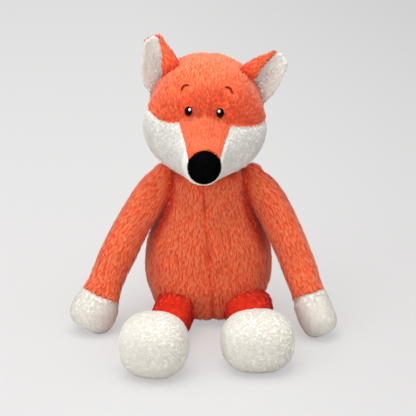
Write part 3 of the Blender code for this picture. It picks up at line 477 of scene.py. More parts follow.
class FoxStage(bpy.types.PropertyGroup):
    """Camera, lights and floor"""

    target: place("Target", "What the camera looks at", (-0.0004, 0, 0.094))
    distance: length("Distance", "From the camera to its target", 1.5)
    elevation: angle("Elevation", "How far the camera looks down", 20)
    lens: share("Lens", "Focal length in millimetres on a 36 mm sensor", 152.7)
    floor: colour("Floor", "Floor and backdrop", (0.67, 0.665, 0.663))
    floor_far: colour("Far floor", "Floor and backdrop on the shaded side", (0.5, 0.497, 0.497))
    shade_way: place("Shade", "How fast the floor darkens to the right and to the back", (1.2, 0.12, 0))
    glow: share("Glow", "What lightens the floor to the camera alone", 1.13)
    glow_share: share("Glow share", "How much of the floor's look is that", 0.58)


GROUPS = {
    "fox_body": FoxBody,
    "fox_head": FoxHead,
    "fox_ears": FoxEars,
    "fox_limbs": FoxLimbs,
    "fox_nap": FoxNap,
    "fox_colours": FoxColours,
    "fox_stage": FoxStage,
}


# Numbers and directions

def unit(ways):
    return ways / np.maximum(np.linalg.norm(ways, axis=-1, keepdims=True), SMALLEST)


def dot(a, b):
    return (a * b).sum(-1, keepdims=True)


def drift(points, reach, seed):
    """Slow ups and downs over about this reach, mostly between -1 and 1."""
    random = np.random.default_rng(seed)
    ways = unit(random.normal(size=(DRIFT_WAVES, 3))) * math.tau / reach
    phases = random.uniform(0, math.tau, DRIFT_WAVES)
    return np.sin(points @ ways.T + phases).sum(1) * math.sqrt(2 / DRIFT_WAVES) / 2


def hinge_place(name):
    found = next(row for row in frame["joints"] if row["name"] == name)
    return np.array(found["pos_m"], float)


def moved(matrix, points):
    turn = np.array(matrix)
    return points @ turn[:3, :3].T + turn[:3, 3]


def turned(matrix, ways):
    return ways @ np.array(matrix)[:3, :3].T


# Forms: a grid of points round a middle line

def station(middle, half_width, above, below=None):
    return np.array([*middle, half_width, above, above if below is None else below])


def stations_along(line, shares):
    """The stations at these shares of the way, on a smooth curve through them all."""
    steps = np.linalg.norm(np.diff(line, axis=0), axis=1)
    ways = np.concatenate(([0], np.cumsum(steps)))
    spots = np.arange(len(ways))
    low, high = np.maximum(spots - 1, 0), np.minimum(spots + 1, len(ways) - 1)
    slopes = (line[high] - line[low]) / (ways[high] - ways[low])[:, None]
    at = np.clip(shares, 0, 1) * ways[-1]
    k = np.clip(np.searchsorted(ways, at, side="right") - 1, 0, len(steps) - 1)
    step = steps[k][:, None]
    t = (at - ways[k])[:, None] / step
    start = (2 * t**3 - 3 * t**2 + 1) * line[k] + (t**3 - 2 * t**2 + t) * step * slopes[k]
    end = (3 * t**2 - 2 * t**3) * line[k + 1] + (t**3 - t**2) * step * slopes[k + 1]
    return start + end


def round_end(girth, out, reach, squareness=2.0):
    """Stations from a rounded end's tip up to, but without, the girth station that it closes."""
    found = []
    for turn in END_ANGLES:
        swell, way = math.sin(turn) ** (2 / squareness), math.cos(turn) ** (2 / squareness)
        found.append(np.concatenate([girth[:3] + out * reach * way, girth[3:] * swell]))
    return found


class Form:
    """Points, faces and lay of a closed cover. Rings run from its first tip to its last."""

    def __init__(self, line, side, segments, rings, squareness=2.0):
        line = np.array(line)
        shares = np.arange(1, rings) / rings
        here = stations_along(line, shares)
        ahead = stations_along(line, shares + BEND_SHARE) - stations_along(line, shares - BEND_SHARE)
        ahead = unit(ahead[:, :3])
        across = unit(side - ahead * (ahead @ side)[:, None])
        up = np.cross(ahead, across)
        turns = np.arange(segments) * math.tau / segments
        cos, sin = (np.sign(way) * abs(way) ** (2 / squareness) for way in (np.cos(turns), np.sin(turns)))
        wide = here[:, 3:4] * cos
        high = np.where(sin > 0, here[:, 4:5], here[:, 5:6]) * sin
        grid = here[:, None, :3] + across[:, None] * wide[..., None] + up[:, None] * high[..., None]
        self.points = np.concatenate([line[:1, :3], grid.reshape(-1, 3), line[-1:, :3]])
        self.lay = np.concatenate([ahead[:1], np.repeat(ahead, segments, 0), ahead[-1:]])
        self.row = np.concatenate([[0], np.repeat(np.arange(1, rings), segments), [rings]])
        self.seam = np.zeros(len(self.points))
        self.faces = grid_faces(segments, rings)
        if self.volume() < 0:
            self.faces = [face[::-1] for face in self.faces]

    def triangles(self):
        return triangles(self.faces)

    def volume(self):
        a, b, c = (self.points[corner] for corner in self.triangles().T)
        return (a * np.cross(b, c)).sum() / 6

    def normals(self):
        return point_normals(self.points, self.triangles())

    def sink(self, depth):
        """Moves each point in by its own depth."""
        self.points = self.points - self.normals() * np.reshape(depth, (-1, 1))

    def copy_rows(self, first, last):
        """The part from one ring to another, closed across its cut ends."""
        part = object.__new__(Form)
        kept = (self.row >= first) & (self.row <= last)
        number = np.cumsum(kept) - 1
        part.faces = [tuple(int(number[i]) for i in face) for face in self.faces if kept[list(face)].all()]
        part.points, part.lay = self.points[kept], self.lay[kept]
        part.row, part.seam = self.row[kept], self.seam[kept]
        for row in (first, last):
            rim = np.flatnonzero(part.row == row)
            if len(rim) > 1:
                close(part, rim)
        if part.volume() < 0:
            part.faces = [face[::-1] for face in part.faces]
        return part


def close(form, rim):
    """Closes a ring with a fan to its middle, facing away from the rest."""
    middle = len(form.points)
    form.points = np.concatenate([form.points, form.points[rim].mean(0, keepdims=True)])
    form.lay = np.concatenate([form.lay, form.lay[rim[:1]]])
    form.row = np.concatenate([form.row, form.row[rim[:1]]])
    form.seam = np.concatenate([form.seam, form.seam[rim[:1]]])
    ahead = face_edges(form.faces)
    for here, after in zip(rim, np.roll(rim, -1)):
        here, after = int(here), int(after)
        form.faces.append((after, here, middle) if (here, after) in ahead else (here, after, middle))


def with_next(items):
    """Each item with the one after it, and the last with the first."""
    return zip(items, items[1:] + items[:1])


def face_edges(faces):
    return {edge for face in faces for edge in with_next(tuple(face))}


def grid_faces(segments, rings):
    faces = []
    last = 1 + segments * (rings - 1)
    for k in range(segments):
        after = (k + 1) % segments
        faces.append((0, 1 + k, 1 + after))
        for ring in range(rings - 2):
            low, high = 1 + ring * segments, 1 + (ring + 1) * segments
            faces.append((low + k, high + k, high + after, low + after))
        low = 1 + (rings - 2) * segments
        faces.append((low + k, last, low + after))
    return faces


def triangles(faces):
    return np.array([(f[0], f[k], f[k + 1]) for f in faces for k in range(1, len(f) - 1)])


def point_normals(points, corners):
    a, b, c = (points[corner] for corner in corners.T)
    ways = np.cross(b - a, c - a)
    found = np.zeros_like(points)
    for corner in corners.T:
        np.add.at(found, corner, ways)
    return unit(found)


def shell(front, back, faces):
    """Points and faces of the closed solid between two copies of an open sheet."""
    count = len(front)
    edges = face_edges(faces)
    solid = [tuple(face) for face in faces] + [tuple(i + count for i in face[::-1]) for face in faces]
    for a, b in sorted(edges):
        if (b, a) not in edges:
            solid.append((b, a, a + count, b + count))
    return np.concatenate([front, back]), solid


# Meshes and materials

def link(thing):
    bpy.context.scene.collection.objects.link(thing)
    return thing


def cover(name, points, faces, material):
    """A smooth-shaded mesh object."""
    mesh = bpy.data.meshes.new(name)
    mesh.from_pydata(points.tolist(), [], faces)
    mesh.polygons.foreach_set("use_smooth", np.ones(len(mesh.polygons), bool))
    mesh.materials.append(material)
    mesh.update()
    return link(bpy.data.objects.new(name, mesh))


class Nodes:
    """A new material's node tree."""

    def __init__(self, name):
        self.material = bpy.data.materials.new(OWN + name)
        self.material.use_nodes = True
        self.tree = self.material.node_tree
        self.shader = self.tree.nodes["Principled BSDF"]

    def node(self, kind, **values):
        found = self.tree.nodes.new(kind)
        for key, value in values.items():
            if hasattr(found, key):
                setattr(found, key, value)
            else:
                found.inputs[key.replace("_", " ").title()].default_value = value
        return found

    def link(self, start, end):
        self.tree.links.new(start, end)

    def surface(self, roughness, specular, sheen=0):
        self.shader.inputs["Roughness"].default_value = roughness
        self.shader.inputs["Sheen Weight"].default_value = sheen
        self.shader.inputs["Sheen Roughness"].default_value = SHEEN_ROUGHNESS
        self.shader.inputs["Specular IOR Level"].default_value = specular

    def texture(self, kind, **values):
        """A pattern in the piece's own lengths."""
        found = self.node(kind, **values)
        self.link(self.node("ShaderNodeTexCoord").outputs["Object"], found.inputs["Vector"])
        return found

    def bands(self, way, scale, wobble):
        values = {"wave_type": "BANDS", "bands_direction": way, "scale": scale, "distortion": wobble}
        return self.texture("ShaderNodeTexWave", **values)

    def ramp(self, fac, *stops):
        found = self.node("ShaderNodeValToRGB")
        while len(found.color_ramp.elements) < len(stops):
            found.color_ramp.elements.new(1)
        for element, (at, shade) in zip(found.color_ramp.elements, stops):
            element.position = at
            element.color = (*shade, 1)
        self.link(fac, found.inputs["Fac"])
        return found.outputs["Color"]

    def mix(self, fac, first, second, blend="MIX"):
        """Blends two colours, each an output or a plain colour."""
        found = self.node("ShaderNodeMix", data_type="RGBA", blend_type=blend)
        for value, number in zip((fac, first, second), MIX_SOCKETS):
            socket = found.inputs[number]
            if isinstance(value, bpy.types.NodeSocket):
                self.link(value, socket)
            else:
                socket.default_value = value if isinstance(value, float) else (*value, 1)
        return found.outputs[MIX_RESULT]

    def bump(self, height, strength, distance):
        found = self.node("ShaderNodeBump", strength=strength, distance=distance)
        self.link(height, found.inputs["Height"])
        self.link(found.outputs["Normal"], self.shader.inputs["Normal"])

    def blend(self, fac, second):
        """Shows this share of another shader's light over the cloth's own."""
        both = self.node("ShaderNodeMixShader")
        if isinstance(fac, bpy.types.NodeSocket):
            self.link(fac, both.inputs["Fac"])
        else:
            both.inputs["Fac"].default_value = fac
        self.link(self.shader.outputs["BSDF"], both.inputs[1])
        self.link(second, both.inputs[2])
        self.link(both.outputs["Shader"], self.tree.nodes["Material Output"].inputs["Surface"])


def nap_material(name, deep, middle, light, pressed, contrast, sheen, specular):
    """Fibres painted deep at the root as shade among them and light at the tip as light catching them, each
    tuft a little different.

    Light gets through them.
    """
    made = Nodes(name)
    marks = made.node("ShaderNodeAttribute", attribute_name="nap")
    parts = made.node("ShaderNodeSeparateColor")
    made.link(marks.outputs["Color"], parts.inputs["Color"])
    # painted shade at the roots and painted light at the tips
    along = made.ramp(parts.outputs["Red"], (0.0, deep), (NAP_MIDDLE_SHARE, middle), (1.0, light))
    shade = tuple(1 - contrast * value for value in DARK_TUFT_SHARES)
    shine = tuple(1 + contrast * value for value in LIGHT_TUFT_SHARES)
    tint = made.ramp(parts.outputs["Green"], (0.0, shade), (MIDDLE_TINT_SHARE, (1, 1, 1)), (1.0, shine))
    tuft = made.mix(1.0, along, tint, "MULTIPLY")
    # the blue mark blends in the seam colour, which also paints shade in creases, dents and hollows
    cloth = made.mix(parts.outputs["Blue"], tuft, pressed)
    made.link(cloth, made.shader.inputs["Base Color"])
    made.surface(NAP_ROUGHNESS, specular, sheen)
    pale = [SHEEN_SHARE + (1 - SHEEN_SHARE) * value for value in light]
    made.shader.inputs["Sheen Tint"].default_value = (*pale, 1)
    through = made.node("ShaderNodeBsdfTranslucent")
    made.link(cloth, through.inputs["Color"])
    made.blend(bpy.context.scene.fox_nap.through_share, through.outputs["BSDF"])
    return made.material


def backing_material(name, deep, middle, sheen=CLOTH_SHEEN):
    """The knitted cloth that the nap stands in."""
    made = Nodes(name)
    rows = made.bands("Z", KNIT_SCALE, KNIT_WOBBLE)
    blots = made.texture("ShaderNodeTexNoise", scale=BLOT_SCALE)
    made.link(made.mix(blots.outputs["Fac"], deep, middle), made.shader.inputs["Base Color"])
    made.bump(rows.outputs["Fac"], KNIT_SHARE, KNIT_HEIGHT)
    made.surface(CLOTH_ROUGHNESS, 0, sheen)
    return made.material


def thread_material(name, dark, light, roughness, scale):
    """Satin stitches: fine strands side by side with a soft shine."""
    made = Nodes(name)
    strands = made.bands("X", scale, THREAD_WOBBLE)
    fluff = made.texture("ShaderNodeTexNoise", scale=scale * FLUFF_SCALE_SHARE)
    made.link(made.mix(strands.outputs["Fac"], dark, light), made.shader.inputs["Base Color"])
    made.bump(fluff.outputs["Fac"], FLUFF_SHARE, FLUFF_HEIGHT)
    made.surface(roughness, THREAD_SPECULAR)
    return made.material


def materials():
    """The fox's materials, made once."""
    c = bpy.context.scene.fox_colours
    naps = {  # deep (painted shade at the roots), middle, light (painted light at the tips), and pressed: the colour of seams and of the shade painted in creases, dents and hollows
        "orange": (c.orange_deep, c.orange, c.orange_light, c.crease),
        "bridge": (c.orange_deep, c.bridge, c.bridge, c.crease),
        "leg": (c.orange_deep, c.leg, c.leg, c.crease),
        "cream": (c.cream_deep, c.cream, c.cream_light, c.cream_deep),
        "cheek": (c.cheek, c.cheek, c.cheek, c.cheek),
        "lining": (c.cream, c.cream_light, c.cream_light, c.hollow),
        "velvet": (c.velvet, c.velvet, c.velvet_tip, c.velvet),
    }
    backings = {  # deep and light, and its own sheen
        "orange_backing": (c.orange_deep, c.orange),
        "leg_backing": (c.orange_deep, c.leg),
        "cream_backing": (c.cream_deep, c.cream),
        "cheek_backing": (c.cheek, c.cheek),
        "velvet_backing": (c.velvet, c.velvet_tip, 0),
        "stuffing": (c.cream_deep, c.stuffing),
    }
    threads = {  # dark and light
        "eye": (c.eye, c.eye),
        "rim": (c.eye, c.eye_rim),
        "white": (c.cream, c.white),
        "brow": (c.eye_rim, c.brow),
    }
    looks = {f"{name}_nap": (nap_material, *naps[name], *NAP_SHARES[name]) for name in naps}
    looks |= {name: (backing_material, *values) for name, values in backings.items()}
    looks |= {f"{name}_thread": (thread_material, *threads[name], *THREAD_LOOKS[name]) for name in threads}
    found = {}
    for name, (make, *values) in looks.items():
        found[name] = bpy.data.materials.get(OWN + name) or make(name, *values)
    return found


# Stuffing and brushing

def levelled(form, values):
    """Evens out values over a form's points, so that small crumples go and the swell stays."""
    corners = form.triangles()
    ends = np.concatenate([corners[:, [0, 1]], corners[:, [1, 2]], corners[:, [2, 0]]])
    counts = np.bincount(ends[:, 0], minlength=len(values))[:, None]
    for _ in range(LEVELLING_ROUNDS):
        around = np.zeros_like(values)
        np.add.at(around, ends[:, 0], values[ends[:, 1]])
        values = (values + around / counts) / 2
    return values


def stuff(form, held, most):
    """Blows up a cover against the seams that hold it, and keeps what it settles into.

    No point moves further than the most that is given.
    """
    thing = cover("stuffed", form.points, form.faces, None)
    group = thing.vertex_groups.new(name="held")
    for index in np.flatnonzero(held > LEAST_HOLD_SHARE):
        group.add([int(index)], float(held[index]), "REPLACE")
    cloth = thing.modifiers.new("cloth", "CLOTH")
    values = cloth.settings
    values.use_pressure = True
    values.uniform_pressure_force = STUFFING_PRESSURE
    values.effector_weights.gravity = 0
    values.vertex_group_mass = "held"
    values.shrink_min = -SPARE_CLOTH_SHARE
    values.shrink_max = -SPARE_CLOTH_SHARE
    values.bending_stiffness = CLOTH_BENDING
    scene = bpy.context.scene
    for step in range(1, STUFFING_FRAMES + 1):
        scene.frame_set(step)
    settled = thing.evaluated_get(bpy.context.evaluated_depsgraph_get()).data
    points = np.empty(len(form.points) * 3)
    settled.vertices.foreach_get("co", points)
    change = levelled(form, points.reshape(-1, 3) - form.points) * (1 - np.reshape(held, (-1, 1)))
    size = np.linalg.norm(change, axis=1, keepdims=True)
    form.points = form.points + change * np.minimum(1, most / np.maximum(size, SMALLEST))
    bpy.data.objects.remove(thing)
    scene.frame_set(1)


class Roots:
    """Where tufts grow: their places, outward normals, lay, how pressed they are at seams and how much
    shade is painted on them there and in creases, dents and hollows, lengths, and the painted light and
    shade of their tint.

    Lengths are shares of the full length.
    """

    def __init__(self, spots, outs, lays, seams):
        self.spots, self.outs, self.lays, self.seams = spots, outs, lays, seams
        self.lengths, self.shades = np.ones(len(spots)), np.zeros(len(spots))

    def only(self, kept):
        for name, values in vars(self).items():
            setattr(self, name, values[kept])
        return self

    def placed(self, matrix):
        self.spots, self.outs = moved(matrix, self.spots), turned(matrix, self.outs)
        self.lays = turned(matrix, self.lays)
        return self

    def creased(self, room):
        """Presses the roots that have little room between them and another piece, and paints shade on them.
        """
        reach = bpy.context.scene.fox_nap.crease_reach
        self.seams = np.maximum(self.seams, np.exp(-((np.maximum(room, 0) / reach) ** 2)))
        return self

    def clear_of(self, *forms):
        """Without the roots that these forms cover, and pressed and painted in shade next to them."""
        room = np.min([clearance(form, self.spots) for form in forms], axis=0)
        return self.creased(room).only(room > -COVERED_DEPTH)


def clearance(form, spots):
    """How far each place is outside a form, below zero when it is inside."""
    tree = BVHTree.FromPolygons(form.points.tolist(), form.faces)
    found = []
    for spot in spots.tolist():
        near, normal, _, distance = tree.find_nearest(spot)
        found.append(math.copysign(distance, (Vector(spot) - near).dot(normal)))
    return np.array(found)


def scatter(form, kind, random):
    """Evenly spread roots on a form, as close together as this kind of nap grows."""
    triangles = form.triangles()
    a, b, c = (form.points[corner] for corner in triangles.T)
    total = np.cumsum(np.linalg.norm(np.cross(b - a, c - a), axis=1) / 2)
    tufts = getattr(bpy.context.scene.fox_nap, f"{kind}_tufts")
    count = int(total[-1] * SQUARE_CENTIMETRES * tufts)
    at = (np.arange(count) + random.uniform(0, 1, count)) / count * total[-1]
    face = np.minimum(np.searchsorted(total, at), len(total) - 1)
    first = np.sqrt(random.uniform(0, 1, (count, 1)))
    second = random.uniform(0, 1, (count, 1))
    weights = (1 - first, first * (1 - second), first * second)

    def spread(values):
        values = values.reshape(len(form.points), -1)
        return sum(values[corner] * weight for corner, weight in zip(triangles[face].T, weights))

    return Roots(
        spread(form.points), unit(spread(form.normals())), spread(form.lay), spread(form.seam)[:, 0]
    )


def tufts(roots, size, lift, random):
    """Each tuft's lay, the way across it, its tip and its tint."""
    outs, count = roots.outs, len(roots.spots)
    lay = unit(roots.lays - outs * dot(outs, roots.lays))
    side = np.cross(outs, lay)
    turn = LAY_DRIFT_SHARE * drift(roots.spots, LAY_WAVE, LAY_SEED)
    turn = turn + random.normal(0, LAY_SPREAD_SHARE, count)
    cos, sin = np.cos(turn)[:, None], np.sin(turn)[:, None]
    lay, side = lay * cos + side * sin, side * cos - lay * sin
    rise = 1 + LIFT_DRIFT_SHARE * drift(roots.spots, LIFT_WAVE, LIFT_SEED)
    rise = lift * (rise + random.normal(0, LIFT_SPREAD_SHARE, count))[:, None]
    run = size * random.uniform(*TUFT_LENGTH_SHARES, (count, 1))
    run = run * (roots.lengths * (1 - PRESSED_SHARE * roots.seams))[:, None]
    tip = roots.spots + (outs * np.sin(rise) + lay * np.cos(rise)) * run
    tint_drift = TINT_DRIFT_SHARE * drift(roots.spots, TINT_WAVE, TINT_SEED)
    tint = MIDDLE_TINT_SHARE + roots.shades + tint_drift + random.normal(0, TUFT_TINT_SHARE, count)
    return lay, side, tip, tint


def brush(name, roots, kind, random, look=None, length_share=1.0, blades=BLADES):
    """Tufts of tapered fibre bundles over these roots, lying along their lay and short at the seams."""
    nap = bpy.context.scene.fox_nap
    size, width, lift = (getattr(nap, f"{kind}_{key}") for key in ("length", "width", "lift"))
    size = size * length_share
    values = (roots.spots, roots.outs, roots.seams, *tufts(roots, size, lift, random))
    spot, out, seam, lay, side, tip, tint = (np.repeat(value, blades, 0) for value in values)
    total = len(spot)
    away = np.sqrt(random.uniform(0, 1, (total, 1))) * min(nap.tuft_radius, size)
    around = random.uniform(0, math.tau, (total, 1))
    offset = (lay * np.cos(around) + side * np.sin(around)) * away
    start = spot + offset - out * size * ROOT_DEPTH_SHARE
    reach = random.uniform(*BLADE_LENGTH_SHARES, (total, 1))
    stray = side * random.normal(0, STRAY_SHARE, (total, 1)) * size
    end = start + (tip - spot) * reach - offset * GATHER_SHARE + stray
    middle = (start + end) / 2 + out * size * BLADE_BOW_SHARE
    roll = random.normal(0, BLADE_ROLL, (total, 1))
    flat = unit(np.cross(end - start, out))
    flat = flat * np.cos(roll) + out * np.sin(roll)
    root_half = flat * (width / 2) * random.uniform(*BLADE_WIDTH_SHARES, (total, 1))
    half = root_half * BLADE_MIDDLE_SHARE
    corners = np.stack([start - root_half, start + root_half, middle - half, middle + half, end], 1)
    corners[..., 2] = np.maximum(corners[..., 2], random.uniform(*BLADE_FLOOR_GAPS, (total, 1)))
    facing = unit(np.cross(flat, end - start))
    facing = facing * np.sign(dot(facing, out))
    shading = unit(out * (1 - FACING_SHARE) + facing * FACING_SHARE)
    tint = np.clip(tint + random.normal(0, BLADE_TINT_SHARE, total), 0, 1)
    return strips(name, corners, shading, (tint, seam), materials()[look or f"{kind}_nap"])


def strips(name, corners, shading, marks, material):
    """One mesh of tapered strips, given as five corners each, shaded with the cloth's own normals."""
    count = len(corners)
    mesh = bpy.data.meshes.new(name)
    loops = np.arange(count)[:, None] * BLADE_CORNERS + BLADE_LOOPS
    starts = np.arange(count)[:, None] * len(BLADE_LOOPS) + BLADE_STARTS
    mesh.vertices.add(count * BLADE_CORNERS)
    mesh.vertices.foreach_set("co", corners.astype(np.float32).ravel())
    mesh.loops.add(loops.size)
    mesh.loops.foreach_set("vertex_index", loops.astype(np.int32).ravel())
    mesh.polygons.add(starts.size)
    mesh.polygons.foreach_set("loop_start", starts.astype(np.int32).ravel())
    mesh.polygons.foreach_set("use_smooth", np.ones(starts.size, bool))
    mesh.update(calc_edges=True)
    mesh.normals_split_custom_set_from_vertices(np.repeat(shading, BLADE_CORNERS, 0))
    rows = np.ones((count, BLADE_CORNERS, 4), np.float32)
    rows[..., 0] = BLADE_HEIGHT_SHARES
    rows[..., 1:3] = np.stack(marks, 1)[:, None]
    mesh.color_attributes.new("nap", "FLOAT_COLOR", "POINT").data.foreach_set("color", rows.ravel())
    mesh.materials.append(material)
    return link(bpy.data.objects.new(name, mesh))


def pinch(form, distance, share=1.0):
    """Draws a form in along a seam, given each point's distance from it.

    Returns how firmly the seam holds each point.
    """
    nap = bpy.context.scene.fox_nap
    firmness = np.exp(-((distance / nap.seam_width) ** 2)) * share
    form.sink(firmness * nap.seam_depth)
    form.seam = np.maximum(form.seam, firmness**PRESSED_POWER)
    return firmness


def rides(body, *things):
    for thing in things:
        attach(thing, body)


def between(start, end, share):
    return start + (end - start) * share


def bend(place, way, reaches):
    """The stretch from before a place to behind it, along a way."""
    before, after = reaches
    return place - way * before, place + way * after


def joins(first, second, start, end, *things):
    for thing in things:
        tuple(start)
        tuple(end)
        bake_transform(thing)


# The forms that several pieces need

def body_form():
    body = bpy.context.scene.fox_body
    pivot = Z * (body.height - body.neck_radius)
    sides = [
        station(Z * body.height * height, body.half_width * width, body.half_depth * depth)
        for height, width, depth in BODY_SIDE_SHARES
    ]
    neck = [
        station(
            pivot + Z * body.neck_radius * math.cos(turn),
            body.neck_radius * math.sin(turn),
            body.neck_radius * math.sin(turn),
        )
        for turn in NECK_SEAT_ANGLES
    ]
    seat = round_end(sides[0], -Z, sides[0][2] + body.floor_press, body.seat_squareness)
    return Form(seat + sides + neck, X, COVER_SEGMENTS, COVER_RINGS)


def head_place():
    """From places about the head's own centre, with its muzzle along -Y, to places in the scene."""
    head, body = bpy.context.scene.fox_head, bpy.context.scene.fox_body
    centre = Vector(head.offset) + Vector((0, 0, body.height))
    turn = Matrix.Rotation(head.yaw, 4, "Z") @ Matrix.Rotation(head.roll, 4, "Y")
    return Matrix.Translation(centre) @ turn


def muzzle_end(head):
    return -Y * head.muzzle_reach - Z * head.muzzle_drop


def head_form():
    head = bpy.context.scene.fox_head
    middles = [
        station(
            -Y * head.muzzle_reach * reach - Z * head.muzzle_drop * drop,
            head.half_width * width,
            head.half_height * above,
            head.half_height * below,
        )
        for reach, drop, width, above, below in HEAD_SHARES
    ]
    back = round_end(middles[0], Y, head.skull_back - middles[0][1])
    tip_radius = head.half_width * MUZZLE_TIP_SHARE
    tip = station(muzzle_end(head), tip_radius, tip_radius, tip_radius * CHIN_SHARE)
    front = round_end(tip, -Y, head.nose_radius / 2)
    return Form(back + middles + [tip] + front[::-1], X, COVER_SEGMENTS, COVER_RINGS)


def placed_head_form():
    form = head_form()
    form.points = moved(head_place(), form.points)
    return form


def arm_run(side):
    """An arm's shoulder, and the way from there to the middle of its paw on the floor."""
    limbs, values = bpy.context.scene.fox_limbs, SIDES[side]
    shoulder = hinge_place(f"shoulder_{values['name']}")
    drop = shoulder[2] - limbs.paw_radius + bpy.context.scene.fox_body.floor_press
    reach = math.sqrt(limbs.arm_length**2 - drop**2)
    turn = values["arm_turn"]
    return shoulder, (X * side * math.cos(turn) - Y * math.sin(turn)) * reach - Z * drop


def face_outlines():
    """Seen from the front: each cheek's outline and the bridge's."""
    head = bpy.context.scene.fox_head
    foot = -head.half_height * CHEEK_BOTTOM_SHARE
    top = (0, head.bridge_up + head.bridge_rise)
    edges, feet = {}, {}
    for side, values in SIDES.items():
        edges[side] = [(head.bridge_top * side, head.bridge_up)]
        for across, up in values["cheek_shares"]:
            edges[side].append((head.half_width * across * side, head.half_height * up))
        feet[side] = (values["bridge_foot"][0] * side, values["bridge_foot"][1])
    left, right = edges[LEFT], edges[RIGHT]
    cheeks = {
        LEFT: [(0, foot), (left[-1][0], foot), *left[::-1], top],
        RIGHT: [(0, foot), top, *right, (right[-1][0], foot)],
    }
    return cheeks, [feet[RIGHT], feet[LEFT], left[0], top, right[0]]


def inside_outline(outline, points):
    """Which points lie behind a flat outline, as seen from the front."""
    found = np.zeros(len(points), bool)
    across, up = points[:, 0], points[:, 2]
    for (x0, z0), (x1, z1) in with_next(outline):
        if z0 == z1:
            continue
        crosses = (z0 > up) != (z1 > up)
        found ^= crosses & (across < (x1 - x0) * (up - z0) / (z1 - z0) + x0)
    return found


def line_distance(start, run, points):
    """How far each point is from a straight line from a start along a run."""
    at = np.clip((points - start) @ run / (run @ run), 0, 1)
    return np.linalg.norm(points - start - at[:, None] * run, axis=1)


def edge_distance(outline, points):
    """How far each point is from an outline, as seen from the front."""
    flat = points[:, [0, 2]]
    found = np.full(len(points), np.inf)
    for start, end in with_next(outline):
        found = np.minimum(found, line_distance(np.array(start), np.subtract(end, start), flat))
    return found


class Piece(bpy.types.Operator):
    """One group of the fox's pieces."""

    bl_options = {"REGISTER"}

    def execute(self, context):
        self.make(context.scene)
        return {"FINISHED"}


class FOX_OT_stage(Piece):
    """Sets up the floor, the lamps and the camera"""

    bl_idname = "fox.stage"
    bl_label = "Stage"

    def make(self, scene):
        stage = scene.fox_stage
        self.floor(stage)
        self.lamps(scene)
        target = Vector(stage.target)
        back = Vector((0, -math.cos(stage.elevation), math.sin(stage.elevation)))
        camera = bpy.data.cameras.new("camera")
        camera.lens = stage.lens
        camera.sensor_width = SENSOR_WIDTH
        thing = link(bpy.data.objects.new("camera", camera))
        thing.location = target + back * stage.distance
        thing.rotation_euler = back.to_track_quat("Z", "Y").to_euler()
        scene.camera = thing
        scene.view_settings.view_transform = "Standard"

    def floor(self, stage):
        """A floor that curves up into the backdrop."""
        line = [(FLOOR_FRONT, 0)]
        for turn in np.linspace(0, math.pi / 2, FLOOR_BEND_STEPS):
            back, up = FLOOR_BEND * math.sin(turn), FLOOR_BEND - FLOOR_BEND * math.cos(turn)
            line.append((FLOOR_BACK + back, up))
        line.append((FLOOR_BACK + FLOOR_BEND, BACKDROP_HEIGHT))
        points = np.array([(side * FLOOR_HALF_WIDTH, y, z) for y, z in line for side in (RIGHT, LEFT)])
        faces = [(2 * k, 2 * k + 1, 2 * k + 3, 2 * k + 2) for k in range(len(line) - 1)]
        made = Nodes("paper")
        slope = made.texture("ShaderNodeVectorMath", operation="DOT_PRODUCT")
        slope.inputs[1].default_value = stage.shade_way
        shade = made.ramp(slope.outputs["Value"], (0.0, stage.floor), (1.0, stage.floor_far))
        made.link(shade, made.shader.inputs["Base Color"])
        made.surface(PAPER_ROUGHNESS, PAPER_SPECULAR)
        glow = made.node("ShaderNodeEmission", strength=stage.glow)
        made.link(shade, glow.inputs["Color"])
        seen = made.node("ShaderNodeLightPath")
        amount = made.node("ShaderNodeMath", operation="MULTIPLY")
        amount.inputs[1].default_value = stage.glow_share
        made.link(seen.outputs["Is Camera Ray"], amount.inputs[0])
        made.blend(amount.outputs["Value"], glow.outputs["Emission"])
        cover("studio_floor", points, faces, made.material)

    def lamps(self, scene):
        world = bpy.data.worlds.new("studio")
        world.use_nodes = True
        background = world.node_tree.nodes["Background"]
        background.inputs["Color"].default_value = (1, 1, 1, 1)
        background.inputs["Strength"].default_value = SKY_STRENGTH
        scene.world = world
        for name, spot, size, power in LAMPS:
            lamp = bpy.data.lights.new(name, "AREA")
            lamp.size = size
            lamp.energy = power
            thing = link(bpy.data.objects.new(name, lamp))
            thing.location = spot
            back = Vector(spot) - Vector(LAMP_TARGET)
            thing.rotation_euler = back.to_track_quat("Z", "Y").to_euler()


